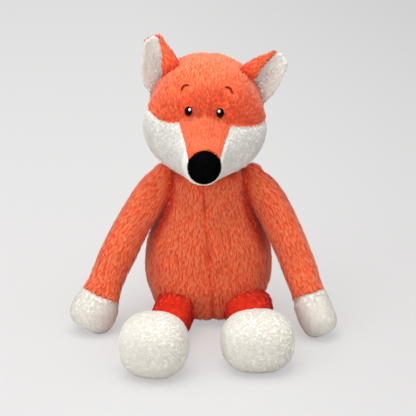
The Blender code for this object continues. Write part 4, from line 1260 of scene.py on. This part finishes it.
class FOX_OT_body(Piece):
    """Makes the body and the plug of stuffing in its neck"""

    bl_idname = "fox.body"
    bl_label = "Body"

    def make(self, scene):
        body = scene.fox_body
        form = body_form()
        form.sink(scene.fox_nap.inset)
        away, front = self.from_seam(body, form.points)
        held = pinch(form, np.where(front, away, FAR))
        held = np.maximum(held, pinch(form, form.points[:, 1] - body.side_seam_y, SIDE_SEAM_SHARE))
        held = np.maximum(held, (form.points[:, 2] < HELD_SEAT) | (form.points[:, 2] > HELD_NECK))
        stuff(form, held, BODY_SWELL)
        form.points[:, 2] = np.maximum(form.points[:, 2], FLOOR_GAP)
        skin = cover("body_cover", form.points, form.faces, materials()["orange_backing"])
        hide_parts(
            "body_front_left", "body_front_right", "body_back", "body_stuffing", "seat_pellet_bag"
        )
        form.lay = -form.lay
        made = [skin, *self.nap(scene, form)]
        rides("torso", *made)
        self.neck(scene)

    def from_seam(self, body, spots):
        """How far each place is from the front seam, and which ones are in front of the side seams."""
        across = np.array([math.cos(body.seam_lean), 0, math.sin(body.seam_lean)])
        seam = np.array([-body.seam_offset, 0, body.height - body.neck_radius])
        return (spots - seam) @ across, spots[:, 1] < body.side_seam_y

    def nap(self, scene, form):
        """The nap in front of the side seams and the nap behind them, parted along the front seam."""
        body = scene.fox_body
        random = np.random.default_rng(SEEDS["body"])
        roots = scatter(form, "orange", random).clear_of(placed_head_form())
        # painted shade on the body where the arms lie against it
        for side in SIDES:
            shoulder, run = arm_run(side)
            roots = roots.creased(line_distance(shoulder, run, roots.spots) - scene.fox_limbs.arm_radius)
        away, front = self.from_seam(body, roots.spots)
        roots = roots.only((abs(away) > scene.fox_nap.seam_width * SEAM_BARE_SHARE) | ~front)
        away, front = self.from_seam(body, roots.spots)
        roots.seams = np.maximum(roots.seams, np.exp(-((away / SEAM_REACH) ** 2)) * front)
        rows = (("body_front_nap", front), ("body_back_nap", ~front))
        return [brush(name, copy(roots).only(kept), "orange", random) for name, kept in rows]

    def neck(self, scene):
        body = scene.fox_body
        low, high = body.height - body.plug_depth, body.height + PLUG_PROUD - PLUG_ROUNDING
        line = [station(Z * height, body.plug_radius, body.plug_radius) for height in (low, high)]
        start = round_end(line[0], -Z, PLUG_FOOT_ROUNDING, PLUG_FOOT_SQUARENESS)
        end = round_end(line[1], Z, PLUG_ROUNDING, PLUG_TOP_SQUARENESS)
        form = Form(start + line + end[::-1], X, LIMB_SEGMENTS, LIMB_RINGS)
        plug = cover("neck_plug", form.points, form.faces, materials()["stuffing"])
        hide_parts("neck_stuffing")
        rides("neck", plug)


class FOX_OT_head(Piece):
    """Makes the head's covers and brushes their nap"""

    bl_idname = "fox.head"
    bl_label = "Head"

    def make(self, scene):
        cheeks, bridge = face_outlines()
        form = self.sewn(scene, cheeks, bridge)
        place = head_place()
        looks = materials()
        skin = cover("head_cover", moved(place, form.points), form.faces, looks["orange_backing"])
        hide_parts("head_crown_left", "head_crown_right", "head_stuffing")
        rides("head", skin)
        self.panels(form, cheeks, bridge, place, looks)
        self.nap(form, cheeks, bridge, place)

    def sewn(self, scene, cheeks, bridge):
        """The head's form, drawn in along its seams and at its eyes, and stuffed."""
        head, nap = scene.fox_head, scene.fox_nap
        form = head_form()
        front = form.points[:, 1] < head.cheek_back
        on_cheeks = inside_outline(cheeks[LEFT], form.points) | inside_outline(cheeks[RIGHT], form.points)
        on_cheeks &= front & ~inside_outline(bridge, form.points)
        form.sink(np.where(on_cheeks, nap.inset * CHEEK_INSET_SHARE, nap.inset))
        held = np.zeros(len(form.points))
        for outline in (cheeks[LEFT], cheeks[RIGHT], bridge):
            edge = np.where(front, edge_distance(outline, form.points), FAR)
            middle = (abs(form.points[:, 0]) < CHIN_SEAM_REACH) & (outline is not bridge)
            held = np.maximum(held, pinch(form, np.where(middle, FAR, edge), FACE_SEAM_SHARE))
        above = form.points[:, 2] > head.brow_up
        held = np.maximum(held, pinch(form, np.where(above, form.points[:, 0], FAR), CROWN_SEAM_SHARE))
        for side in SIDES:
            across = head.face_offset + head.eye_across * side
            away = np.hypot(form.points[:, 0] - across, form.points[:, 2] - head.eye_up)
            dent = np.exp(-((away / EYE_DENT_REACH) ** 2)) * front
            form.sink(dent * EYE_DENT_DEPTH)
            # painted shade in the dent round each eye
            form.seam = np.maximum(form.seam, dent * EYE_DENT_SHADE_SHARE)
            held = np.maximum(held, dent)
        stuff(form, held, HEAD_SWELL)
        return form

    def panels(self, form, cheeks, bridge, place, looks):
        """The face's own pieces of cloth, cut along their outlines and laid on the head."""
        rows = [
            ("cheek_left", "cheek_left", cheeks[LEFT], "cheek", "cream_plush", CHEEK_PROUD),
            ("cheek_right", "cheek_right", cheeks[RIGHT], "cheek", "cream_plush", CHEEK_PROUD),
            ("bridge", "muzzle_bridge", bridge, "orange", "light_orange_plush", BRIDGE_PROUD),
        ]
        for name, node, outline, look, slot, proud in rows:
            thing = self.panel(f"{name}_cover", form, outline, proud, looks[f"{look}_backing"])
            thing.data.transform(place)
            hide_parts(node)
            rides("head", thing)

    def panel(self, name, form, outline, proud, material):
        head, nap = bpy.context.scene.fox_head, bpy.context.scene.fox_nap
        solid = bmesh.new()
        points = form.points + form.normals() * proud
        corners = [solid.verts.new(point) for point in points]
        for face in form.faces:
            solid.faces.new([corners[i] for i in face])
        cuts = [((x0, 0, z0), (z1 - z0, 0, x0 - x1)) for (x0, z0), (x1, z1) in with_next(outline)]
        cuts.append(((0, head.cheek_back, 0), (0, 1, 0)))
        for spot, out in cuts:
            everything = solid.verts[:] + solid.edges[:] + solid.faces[:]
            bmesh.ops.bisect_plane(solid, geom=everything, plane_co=spot, plane_no=Vector(out).normalized())
        middles = np.array([face.calc_center_median() for face in solid.faces])
        kept = inside_outline(outline, middles) & (middles[:, 1] < head.cheek_back)
        gone = [face for face, keep in zip(solid.faces[:], kept) if not keep]
        bmesh.ops.delete(solid, geom=gone, context="FACES")
        bmesh.ops.remove_doubles(solid, verts=solid.verts[:], dist=WELD_REACH)
        solid.verts.index_update()
        points = np.array([corner.co for corner in solid.verts])
        faces = [[corner.index for corner in face.verts] for face in solid.faces]
        solid.free()
        back = points - point_normals(points, triangles(faces)) * nap.inset
        return cover(name, *shell(points, back, faces), material)

    def nap(self, form, cheeks, bridge, place):
        head, nap = bpy.context.scene.fox_head, bpy.context.scene.fox_nap
        random = np.random.default_rng(SEEDS["head"])
        nose = muzzle_end(head)
        body = body_form()
        rows = [
            ("bridge_nap", "bridge", "light_orange_plush", bridge, nose - Z * BRIDGE_LAY_DROP),
            ("cheek_left_nap", "cream", "cream_plush", cheeks[LEFT], nose),
            ("cheek_right_nap", "cream", "cream_plush", cheeks[RIGHT], nose),
            ("head_crown_left_nap", "orange", "orange_plush", None, None),
            ("head_crown_right_nap", "orange", "orange_plush", None, None),
        ]
        for name, kind, slot, outline, centre in rows:
            roots = scatter(form, kind, random)
            kept = self.on_cloth(head, name, outline, cheeks, bridge, roots.spots)
            room = self.room(head, roots.spots)
            roots.lengths = np.clip(room / nap.orange_length * ROOM_LENGTH_SHARE, SHORTEST_SHARE, 1)
            roots = roots.only(kept & (room > 0))
            back = np.tile(Y + Z * CROWN_LAY_SHARE, (len(roots.spots), 1))
            roots.lays = roots.spots - centre if outline else back
            # painted shade on the forehead and painted light towards the crown's top
            if kind == "orange":
                away = (roots.spots - FOREHEAD) / FOREHEAD_REACH
                top = np.clip((roots.spots[:, 2] - CROWN_START) / CROWN_REACH, 0, 1)
                roots.shades = CROWN_LIGHT_SHARE * top - FOREHEAD_SHADE_SHARE * np.exp(-dot(away, away)[:, 0])
            look = "cheek_nap" if kind == "cream" else None
            thing = brush(name, roots.placed(place).clear_of(body), kind, random, look)
            rides("head", thing)

    def on_cloth(self, head, name, outline, cheeks, bridge, spots):
        """Which places lie on one piece of cloth: the bridge, a cheek or half of the crown."""
        front = spots[:, 1] < head.cheek_back
        on_bridge = inside_outline(bridge, spots) & front
        if outline is bridge:
            return on_bridge
        if outline:
            return inside_outline(outline, spots) & front & ~on_bridge
        face = cheeks[LEFT][:-1] + cheeks[RIGHT][1:]
        on_face = inside_outline(face, spots) | (edge_distance(face, spots) < FACE_EDGE)
        on_side = spots[:, 0] > 0 if "left" in name else spots[:, 0] <= 0
        return on_side & ~(on_face & front)

    def room(self, head, spots):
        """How far each place is from the edges of the eyes, the brows and the nose, seen from the front."""
        found = np.linalg.norm(spots - muzzle_end(head), axis=1) - head.nose_radius * NOSE_ROOM_SHARE
        for side in SIDES:
            across = (spots[:, 0] - head.face_offset - head.eye_across * side) / head.eye_half_width
            up = (spots[:, 2] - head.eye_up) / head.eye_half_height
            brow = np.array(brow_line(head, side))
            to_brow = np.linalg.norm(spots[:, None, [0, 2]] - brow, axis=2).min(1) - head.brow_radius
            to_eye = (np.hypot(across, up) - 1) * head.eye_half_width
            found = np.where(spots[:, 1] > 0, found, np.minimum(found, np.minimum(to_eye, to_brow)))
        return found


def brow_line(head, side):
    """A brow's places across and up, seen from the front, from its inner end to its outer."""
    line = []
    for way in np.linspace(-1, 1, BROW_STEPS):
        run, rise = head.brow_half_length * way, head.brow_arch * (1 - way**2)
        across = head.brow_across + run * math.cos(head.brow_slant) + rise * math.sin(head.brow_slant)
        up = head.brow_up - run * math.sin(head.brow_slant) + rise * math.cos(head.brow_slant)
        line.append((across * side, up))
    return line


def ball_line(middle, way, reach):
    """A ball's stations, from a tip before its middle station to one behind it."""
    return round_end(middle, -way, reach) + [middle] + round_end(middle, way, reach)[::-1]


def dome(name, place, sizes, ridges, depth, material):
    """An oval pad of satin stitches: a ball with strands standing on it."""
    form = Form(ball_line(station(np.zeros(3), 1, 1), Z, 1), X, BALL_SEGMENTS, BALL_RINGS)
    points = unit(form.points)
    strands = abs(np.sin(points[:, 0] * ridges * math.pi / 2)) - STITCH_MIDDLE_SHARE
    points = points * (1 + depth * strands * (1 - points[:, 2] ** 2))[:, None] * np.array(sizes)
    return cover(name, moved(place, points), form.faces, material)


def on_skin(tree, across, up):
    """Where the head's outline lies at a spot seen from the front. The placing's -Y points out of it."""
    spot, normal, _, _ = tree.ray_cast(Vector((across, -1, up)), Vector((0, 1, 0)))
    sideways = (-normal).cross(Vector((0, 0, 1))).normalized()
    upwards = sideways.cross(-normal)
    turn = Matrix((sideways, -normal, upwards)).transposed().to_4x4()
    return Matrix.Translation(spot) @ turn


class FOX_OT_face(Piece):
    """Makes the nose, the eyes and the brows"""

    bl_idname = "fox.face"
    bl_label = "Face"

    def make(self, scene):
        head, looks = scene.fox_head, materials()
        form = head_form()
        tree = BVHTree.FromPolygons(form.points.tolist(), form.faces)
        place = head_place()
        for side, values in SIDES.items():
            self.eye(tree, place, head, looks, side, values["name"])
            self.brow(tree, place, head, looks, side, values["name"])
        self.nose(scene, place, looks)

    def eye(self, tree, place, head, looks, side, name):
        seat = place @ on_skin(tree, head.face_offset + head.eye_across * side, head.eye_up)
        sizes = (head.eye_half_width, head.eye_half_depth, head.eye_half_height)
        spot = seat @ Matrix.Translation((0, EYE_SINK, 0))
        eye = dome(f"eye_{name}", spot, sizes, EYE_RIDGES, EYE_RIDGE_SHARE, looks["eye_thread"])
        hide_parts(f"eye_{name}")
        rim = self.rim(f"eye_rim_{name}", seat, head, looks["rim_thread"])
        out = head.eye_half_depth * GLINT_OUT_SHARE
        spot = seat @ Matrix.Translation((-side * head.glint_in, -out, head.glint_up))
        sizes = (head.glint_radius, head.glint_radius * GLINT_DEPTH_SHARE, head.glint_half_height)
        white = looks["white_thread"]
        glint = dome(f"eye_glint_{name}", spot, sizes, GLINT_RIDGES, GLINT_RIDGE_SHARE, white)
        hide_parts(f"eye_glint_{name}")
        rides("head", eye, rim, glint)

    def rim(self, name, seat, head, material):
        """A thin roll of thread round the eye, thickest below it."""
        turns = np.arange(BALL_SEGMENTS)[:, None] * math.tau / BALL_SEGMENTS
        rounds = np.arange(THREAD_SEGMENTS) * math.tau / THREAD_SEGMENTS
        twist = 1 + RIM_TWIST_SHARE * np.sin(turns * RIM_TWISTS + rounds)
        thick = (RIM_RADIUS - RIM_SWELL * np.sin(turns)) * twist
        out = 1 + np.cos(rounds) * thick / head.eye_half_width
        x = np.cos(turns) * out * head.eye_half_width
        z = np.sin(turns) * out * head.eye_half_height
        y = np.sin(rounds) * thick + RIM_SINK
        points = np.stack([x, y, z], -1).reshape(-1, 3)
        number = np.arange(len(points)).reshape(BALL_SEGMENTS, THREAD_SEGMENTS)
        after = np.roll(number, -1, 1)
        corners = (number, after, np.roll(after, -1, 0), np.roll(number, -1, 0))
        faces = np.stack(corners, -1).reshape(-1, 4).tolist()
        return cover(name, moved(seat, points), faces, material)

    def brow(self, tree, place, head, looks, side, name):
        """A line of slanting stitches, each a short roll of thread over the last."""
        out = Matrix.Translation((0, -head.brow_radius * BROW_OUT_SHARE, 0))
        seats = [on_skin(tree, across, up) @ out for across, up in brow_line(head, side)]
        spots = [np.array(seat.translation) for seat in seats]
        line = [station(spot, head.brow_radius, head.brow_radius) for spot in spots]
        start = round_end(line[0], unit(spots[0] - spots[1]), head.brow_radius)
        end = round_end(line[-1], unit(spots[-1] - spots[-2]), head.brow_radius)
        form = Form(start + line + end[::-1], Z, THREAD_SEGMENTS, BROW_RINGS)
        stitches = abs(np.sin(form.row / BROW_RINGS * math.pi * BROW_STITCHES)) - STITCH_MIDDLE_SHARE
        form.sink(-BROW_STITCH_HEIGHT * stitches)
        brow = cover(f"brow_{name}", moved(place, form.points), form.faces, looks["brow_thread"])
        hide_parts(f"brow_{name}")
        rides("head", brow)

    def nose(self, scene, place, looks):
        head, nap = scene.fox_head, scene.fox_nap
        random = np.random.default_rng(SEEDS["nose"])
        centre = np.array(head.nose_offset) + muzzle_end(head)
        stand = nap.velvet_length * VELVET_STAND_SHARE
        radius = head.nose_radius - stand
        ball = station(centre, radius, head.nose_half_height - stand)
        form = Form(ball_line(ball, Y, radius), X, BALL_SEGMENTS, BALL_RINGS)
        away = np.linalg.norm(form.points - centre + Y * radius, axis=1)
        form.sink(NOSE_DENT_DEPTH * np.exp(-((away / NOSE_DENT_REACH) ** 2)))
        form.lay = form.points - centre + Y * radius * 2
        form.points, form.lay = moved(place, form.points), turned(place, form.lay)
        skin = cover("nose", form.points, form.faces, looks["velvet_backing"])
        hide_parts("nose_cover", "nose_stuffing")
        roots = scatter(form, "velvet", random)
        hairs = brush("nose_nap", roots, "velvet", random, blades=VELVET_BLADES)
        rides("head", skin, hairs)


class FOX_OT_ears(Piece):
    """Makes the ears: an orange back that curls over a cream lining"""

    bl_idname = "fox.ears"
    bl_label = "Ears"

    def make(self, scene):
        head = placed_head_form()
        for side, values in SIDES.items():
            self.ear(scene, side, values, head)

    def ear(self, scene, side, values, head):
        ears, nap, looks = scene.fox_ears, scene.fox_nap, materials()
        name = f"ear_{values['name']}"
        random = np.random.default_rng(SEEDS["ear"] + side)
        hinge = hinge_place(name)
        stand = Matrix.Translation(hinge) @ Matrix.Rotation(values["ear_lean"], 4, "Y")
        stand = stand @ Matrix.Rotation(ears.turn * side, 4, "Z")
        made = []
        gap = ears.half_wall * LEAF_GAP_SHARE
        rows = (
            ("back", BACK_SPAN_SHARES, values["ear_back_share"], 0, "orange", "orange_nap", Z),
            ("lining", LINING_SPAN_SHARES, 1, gap, "cream", "lining_nap", -Z),
        )
        for leaf, span, height, forward, kind, look, lay in rows:
            form = self.leaf(ears, side, values, span, height, forward)
            form.points = moved(stand, form.points)
            form.lay = turned(stand, np.tile(lay, (len(form.points), 1)))
            skin = cover(f"{name}_{leaf}", form.points, form.faces, looks[f"{kind}_backing"])
            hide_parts(f"{name}_{leaf}")
            roots = scatter(form, kind, random).clear_of(head)
            hairs = brush(f"{name}_{leaf}_nap", roots, kind, random, look, nap.ear_share)
            for thing in (skin, hairs):
                made.append(thing)
        out = turned(stand, Z[None])[0]
        joins("head", name, *bend(hinge, out, EAR_BEND), *made)

    def leaf(self, ears, side, values, span, height, forward):
        """One leaf: a cupped sheet whose inner edge curls over to the front, closed round its edges."""
        whole = ears.root + ears.length
        table = np.array(EAR_SHARES)
        rows = np.linspace(0, height, EAR_ROWS)
        across = np.linspace(*span, EAR_COLUMNS)
        grid = np.zeros((EAR_ROWS, EAR_COLUMNS, 3))
        for i, row in enumerate(rows):
            width, fold, turn = (np.interp(row, table[:, 0], table[:, k]) for k in (1, 2, 3))
            width = width * ears.half_width * values["ear_width_share"]
            radius = fold * ears.half_width * (1 - (1 - values["ear_fold_share"]) * row)
            flat = 2 * width - radius
            arc = radius * EAR_ARC_SHARE
            run = across * (flat + arc)
            on_flat = np.minimum(run, flat)
            curl = np.clip((run - flat) / arc, 0, 1) * ears.fold_angle * turn
            cup = ears.cup * (1 - on_flat / flat) ** 2
            grid[i, :, 0] = (values["ear_shift"] + width - on_flat - radius * np.sin(curl)) * side
            grid[i, :, 1] = -cup - radius * ears.fold_depth * (1 - np.cos(curl))
            grid[i, :, 2] = whole * row - ears.root
        return self.sheet(grid, ears.half_wall, forward, side)

    def sheet(self, grid, half_wall, forward, side):
        rows, columns, _ = grid.shape
        along, across = np.gradient(grid, axis=0), np.gradient(grid, axis=1)
        inner = unit(np.cross(along, across)) * side
        middle = grid + inner * forward
        rounding = np.ones((rows, columns))
        rounding[:, (0, -1)] = EAR_EDGE_SHARE
        rounding[-1] = EAR_EDGE_SHARE
        wall = inner * half_wall * rounding[..., None]
        number = np.arange(rows * columns).reshape(rows, columns)
        corners = number[:-1, :-1], number[:-1, 1:], number[1:, 1:], number[1:, :-1]
        faces = np.stack(corners, -1).reshape(-1, 4).tolist()
        form = object.__new__(Form)
        front, back = ((middle + wall * way).reshape(-1, 3) for way in (1, -1))
        form.points, form.faces = shell(front, back, faces)
        # painted shade in the lining's hollow, carried in the seam value
        way_up, way_in = np.meshgrid(np.linspace(0, 1, rows), np.linspace(0, 1, columns), indexing="ij")
        up = (way_up - HOLLOW_UP_SHARE) / HOLLOW_UP_REACH_SHARE
        inwards = (way_in - HOLLOW_IN_SHARE) / HOLLOW_IN_REACH_SHARE
        hollow = np.exp(-(up**2) - inwards**2) * HOLLOW_SHADE_SHARE
        form.seam = np.tile(hollow.ravel(), 2) * (forward > 0)
        if form.volume() < 0:
            form.faces = [face[::-1] for face in form.faces]
        return form


def limb(form, names, seam, bodies, joined, settings):
    """A limb's two covers, their nap and what they replace, given each point's distance past the seam."""
    looks = materials()
    random = np.random.default_rng(settings["seed"])
    held = pinch(form, seam)
    held = np.maximum(held, (form.row < HELD_ROWS) | (form.points[:, 2] < settings["held_below"]))
    stuff(form, held, LIMB_SWELL)
    form.points[:, 2] = np.maximum(form.points[:, 2], FLOOR_GAP)
    last = form.row.max()
    ring = int(np.argmin([abs(seam[form.row == row].mean()) for row in range(last + 1)]))
    near, far = form.copy_rows(0, ring), form.copy_rows(ring, last)
    rows = (
        (names[0], near, "orange", settings.get("look", "orange"), (names[0], names[2])),
        (names[1], far, "cream", "cream", (names[1],)),
    )
    made = []
    for name, part, kind, look, nodes in rows:
        skin = cover(name, part.points, part.faces, looks[f"{look}_backing"])
        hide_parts(*nodes)
        if part is far and "lay" in settings:
            part.lay = np.tile(settings["lay"], (len(part.lay), 1))
        roots = scatter(part, kind, random).clear_of(*settings["neighbours"])
        hairs = brush(f"{name}_nap", roots, kind, random, f"{look}_nap")
        for thing in (skin, hairs):
            made.append(thing)
    joins(*bodies, *joined, *made)


class FOX_OT_arms(Piece):
    """Makes the arms and their paws"""

    bl_idname = "fox.arms"
    bl_label = "Arms"

    def make(self, scene):
        body = body_form()
        for side, values in SIDES.items():
            self.arm(scene, side, values, body)

    def arm(self, scene, side, values, body):
        limbs, nap = scene.fox_limbs, scene.fox_nap
        name = f"arm_{values['name']}"
        shoulder, run = arm_run(side)
        radius = limbs.arm_radius
        bow = radius * values["arm_bow_share"]
        out = unit(run)
        outwards = unit(X * side - out * (out @ X * side))

        def middle(way):
            return shoulder + run * way + outwards * bow * math.sin(math.pi * way**BOW_SHARE)

        line = [station(shoulder, limbs.arm_root, limbs.arm_root)]
        for way, girth in zip(ARM_SHARES, values["arm_shares"]):
            line.append(station(middle(way), radius * girth, radius * girth))
        line.append(station(shoulder + run, limbs.paw_radius * values["paw_width_share"], limbs.paw_radius))
        start = round_end(line[0], -out, limbs.arm_root)
        end = round_end(line[-1], out, limbs.paw_radius * PAW_END_SHARE, PAW_SQUARENESS)
        form = Form(start + line + end[::-1], outwards, LIMB_SEGMENTS, LIMB_RINGS)
        seam = (form.points - middle(values["wrist_share"])) @ out
        form.sink(np.where(seam > 0, nap.cream_inset, nap.inset))
        names = (f"{name}_sleeve", f"{name}_paw", f"{name}_stuffing")
        settings = {"seed": SEEDS["arm"] + side, "neighbours": (body,), "held_below": -FAR}
        limb(form, names, seam, ("torso", name), bend(shoulder, out, ARM_BEND), settings)


class FOX_OT_legs(Piece):
    """Makes the legs and their feet"""

    bl_idname = "fox.legs"
    bl_label = "Legs"

    def make(self, scene):
        body = body_form()
        for side, values in SIDES.items():
            self.leg(scene, side, values, body)

    def leg(self, scene, side, values, body):
        limbs, nap, press = scene.fox_limbs, scene.fox_nap, scene.fox_body.floor_press
        foot_height = limbs.foot_radius * values["foot_height_share"]
        hip = hinge_place(f"hip_{values['name']}")
        flat = X * side * math.sin(values["leg_turn"]) - Y * math.cos(values["leg_turn"])
        foot = hip + flat * limbs.leg_length * values["leg_reach_share"]
        foot[2] = foot_height - press
        ankle = foot - flat * limbs.foot_half_length * math.cos(limbs.ankle_angle)
        line = []
        for way, extra in LEG_SHARES:
            width = between(limbs.leg_radius, limbs.thigh_half_width * values["thigh_share"], extra)
            height = between(limbs.leg_radius, limbs.thigh_half_height, extra)
            spot = between(hip, ankle, way)
            spot[2] = height - press
            line.append(station(spot, width, height))
        foot_width = limbs.foot_radius * values["foot_width_share"]
        for turn in (limbs.ankle_angle, *FOOT_ANGLES):
            spot = foot - flat * limbs.foot_half_length * math.cos(turn)
            line.append(station(spot, foot_width * math.sin(turn), foot_height * math.sin(turn)))
        start = round_end(line[0], -flat, limbs.thigh_half_height)
        end = round_end(line[-1], flat, limbs.foot_half_length, FOOT_END_SQUARENESS)
        form = Form(start + line + end[::-1], X, LIMB_SEGMENTS, LIMB_RINGS, LEG_SQUARENESS)
        seam = (form.points - ankle) @ flat
        form.sink(np.where(seam > 0, nap.cream_inset, nap.inset))
        name = values["name"]
        names = (f"leg_{name}_cover", f"foot_{name}_cover", f"leg_{name}_stuffing")
        settings = {"seed": SEEDS["leg"] + side, "neighbours": (body,), "held_below": HELD_SOLE}
        settings |= {"look": "leg", "lay": -X - flat / 2}
        limb(form, names, seam, ("torso", f"leg_{name}"), bend(hip, flat, LEG_BEND), settings)


class FOX_OT_tail(Piece):
    """Makes the tail and its tip"""

    bl_idname = "fox.tail"
    bl_label = "Tail"

    def make(self, scene):
        limbs, nap, press = scene.fox_limbs, scene.fox_nap, scene.fox_body.floor_press
        hinge = hinge_place("tail_swing")
        line = [station(hinge, limbs.tail_root_half_width, limbs.tail_root_half_height)]
        for way, extra in TAIL_SHARES:
            width = between(limbs.tail_root_half_width, limbs.tail_radius, extra)
            height = between(limbs.tail_root_half_height, limbs.tail_radius, extra)
            spot = (hinge[0], hinge[1] + limbs.tail_length * way, height - press)
            line.append(station(spot, width, height))
        start = round_end(line[0], -Y, limbs.tail_root_half_height * TAIL_ROOT_SHARE)
        end = round_end(line[-1], Y, limbs.tail_length * (1 - TAIL_SHARES[-1][0]))
        form = Form(start + line + end[::-1], X, LIMB_SEGMENTS, LIMB_RINGS)
        seam = form.points[:, 1] - hinge[1] - limbs.tail_length * limbs.tail_tip_share
        inset = nap.inset * np.minimum(1, form.row / TAIL_INSET_ROWS)
        form.sink(np.where(seam > 0, nap.cream_inset, inset))
        names = ("tail_cover", "tail_tip_cover", "tail_stuffing")
        settings = {"seed": SEEDS["tail"], "neighbours": (body_form(),), "held_below": HELD_SOLE}
        limb(form, names, seam, ("torso", "tail"), bend(hinge, Y, TAIL_BEND), settings)


PIECES = (
    FOX_OT_stage,
    FOX_OT_body,
    FOX_OT_head,
    FOX_OT_face,
    FOX_OT_ears,
    FOX_OT_arms,
    FOX_OT_legs,
    FOX_OT_tail,
)


class FOX_PT_panel(bpy.types.Panel):
    """Lists the fox's sizes, colours and pieces"""

    bl_idname = "FOX_PT_panel"
    bl_label = "Plush Fox"
    bl_space_type = "VIEW_3D"
    bl_region_type = "UI"
    bl_category = "Plush Fox"

    def draw(self, context):
        for piece in PIECES:
            self.layout.operator(piece.bl_idname)
        for name, group in GROUPS.items():
            box = self.layout.box()
            box.label(text=group.__doc__)
            for key in group.__annotations__:
                box.prop(getattr(context.scene, name), key)


def register():
    for group in GROUPS.values():
        bpy.utils.register_class(group)
    for name, group in GROUPS.items():
        setattr(bpy.types.Scene, name, bpy.props.PointerProperty(type=group))
    for found in (*PIECES, FOX_PT_panel):
        bpy.utils.register_class(found)


def unregister():
    for found in (FOX_PT_panel, *PIECES[::-1]):
        bpy.utils.unregister_class(found)
    for name in GROUPS:
        delattr(bpy.types.Scene, name)
    for group in GROUPS.values():
        bpy.utils.unregister_class(group)


def main():
    register()
    bpy.ops.fox.stage()
    bpy.ops.fox.body()
    bpy.ops.fox.head()
    bpy.ops.fox.face()
    bpy.ops.fox.ears()
    bpy.ops.fox.arms()
    bpy.ops.fox.legs()
    bpy.ops.fox.tail()


if __name__ == "__main__":
    main()
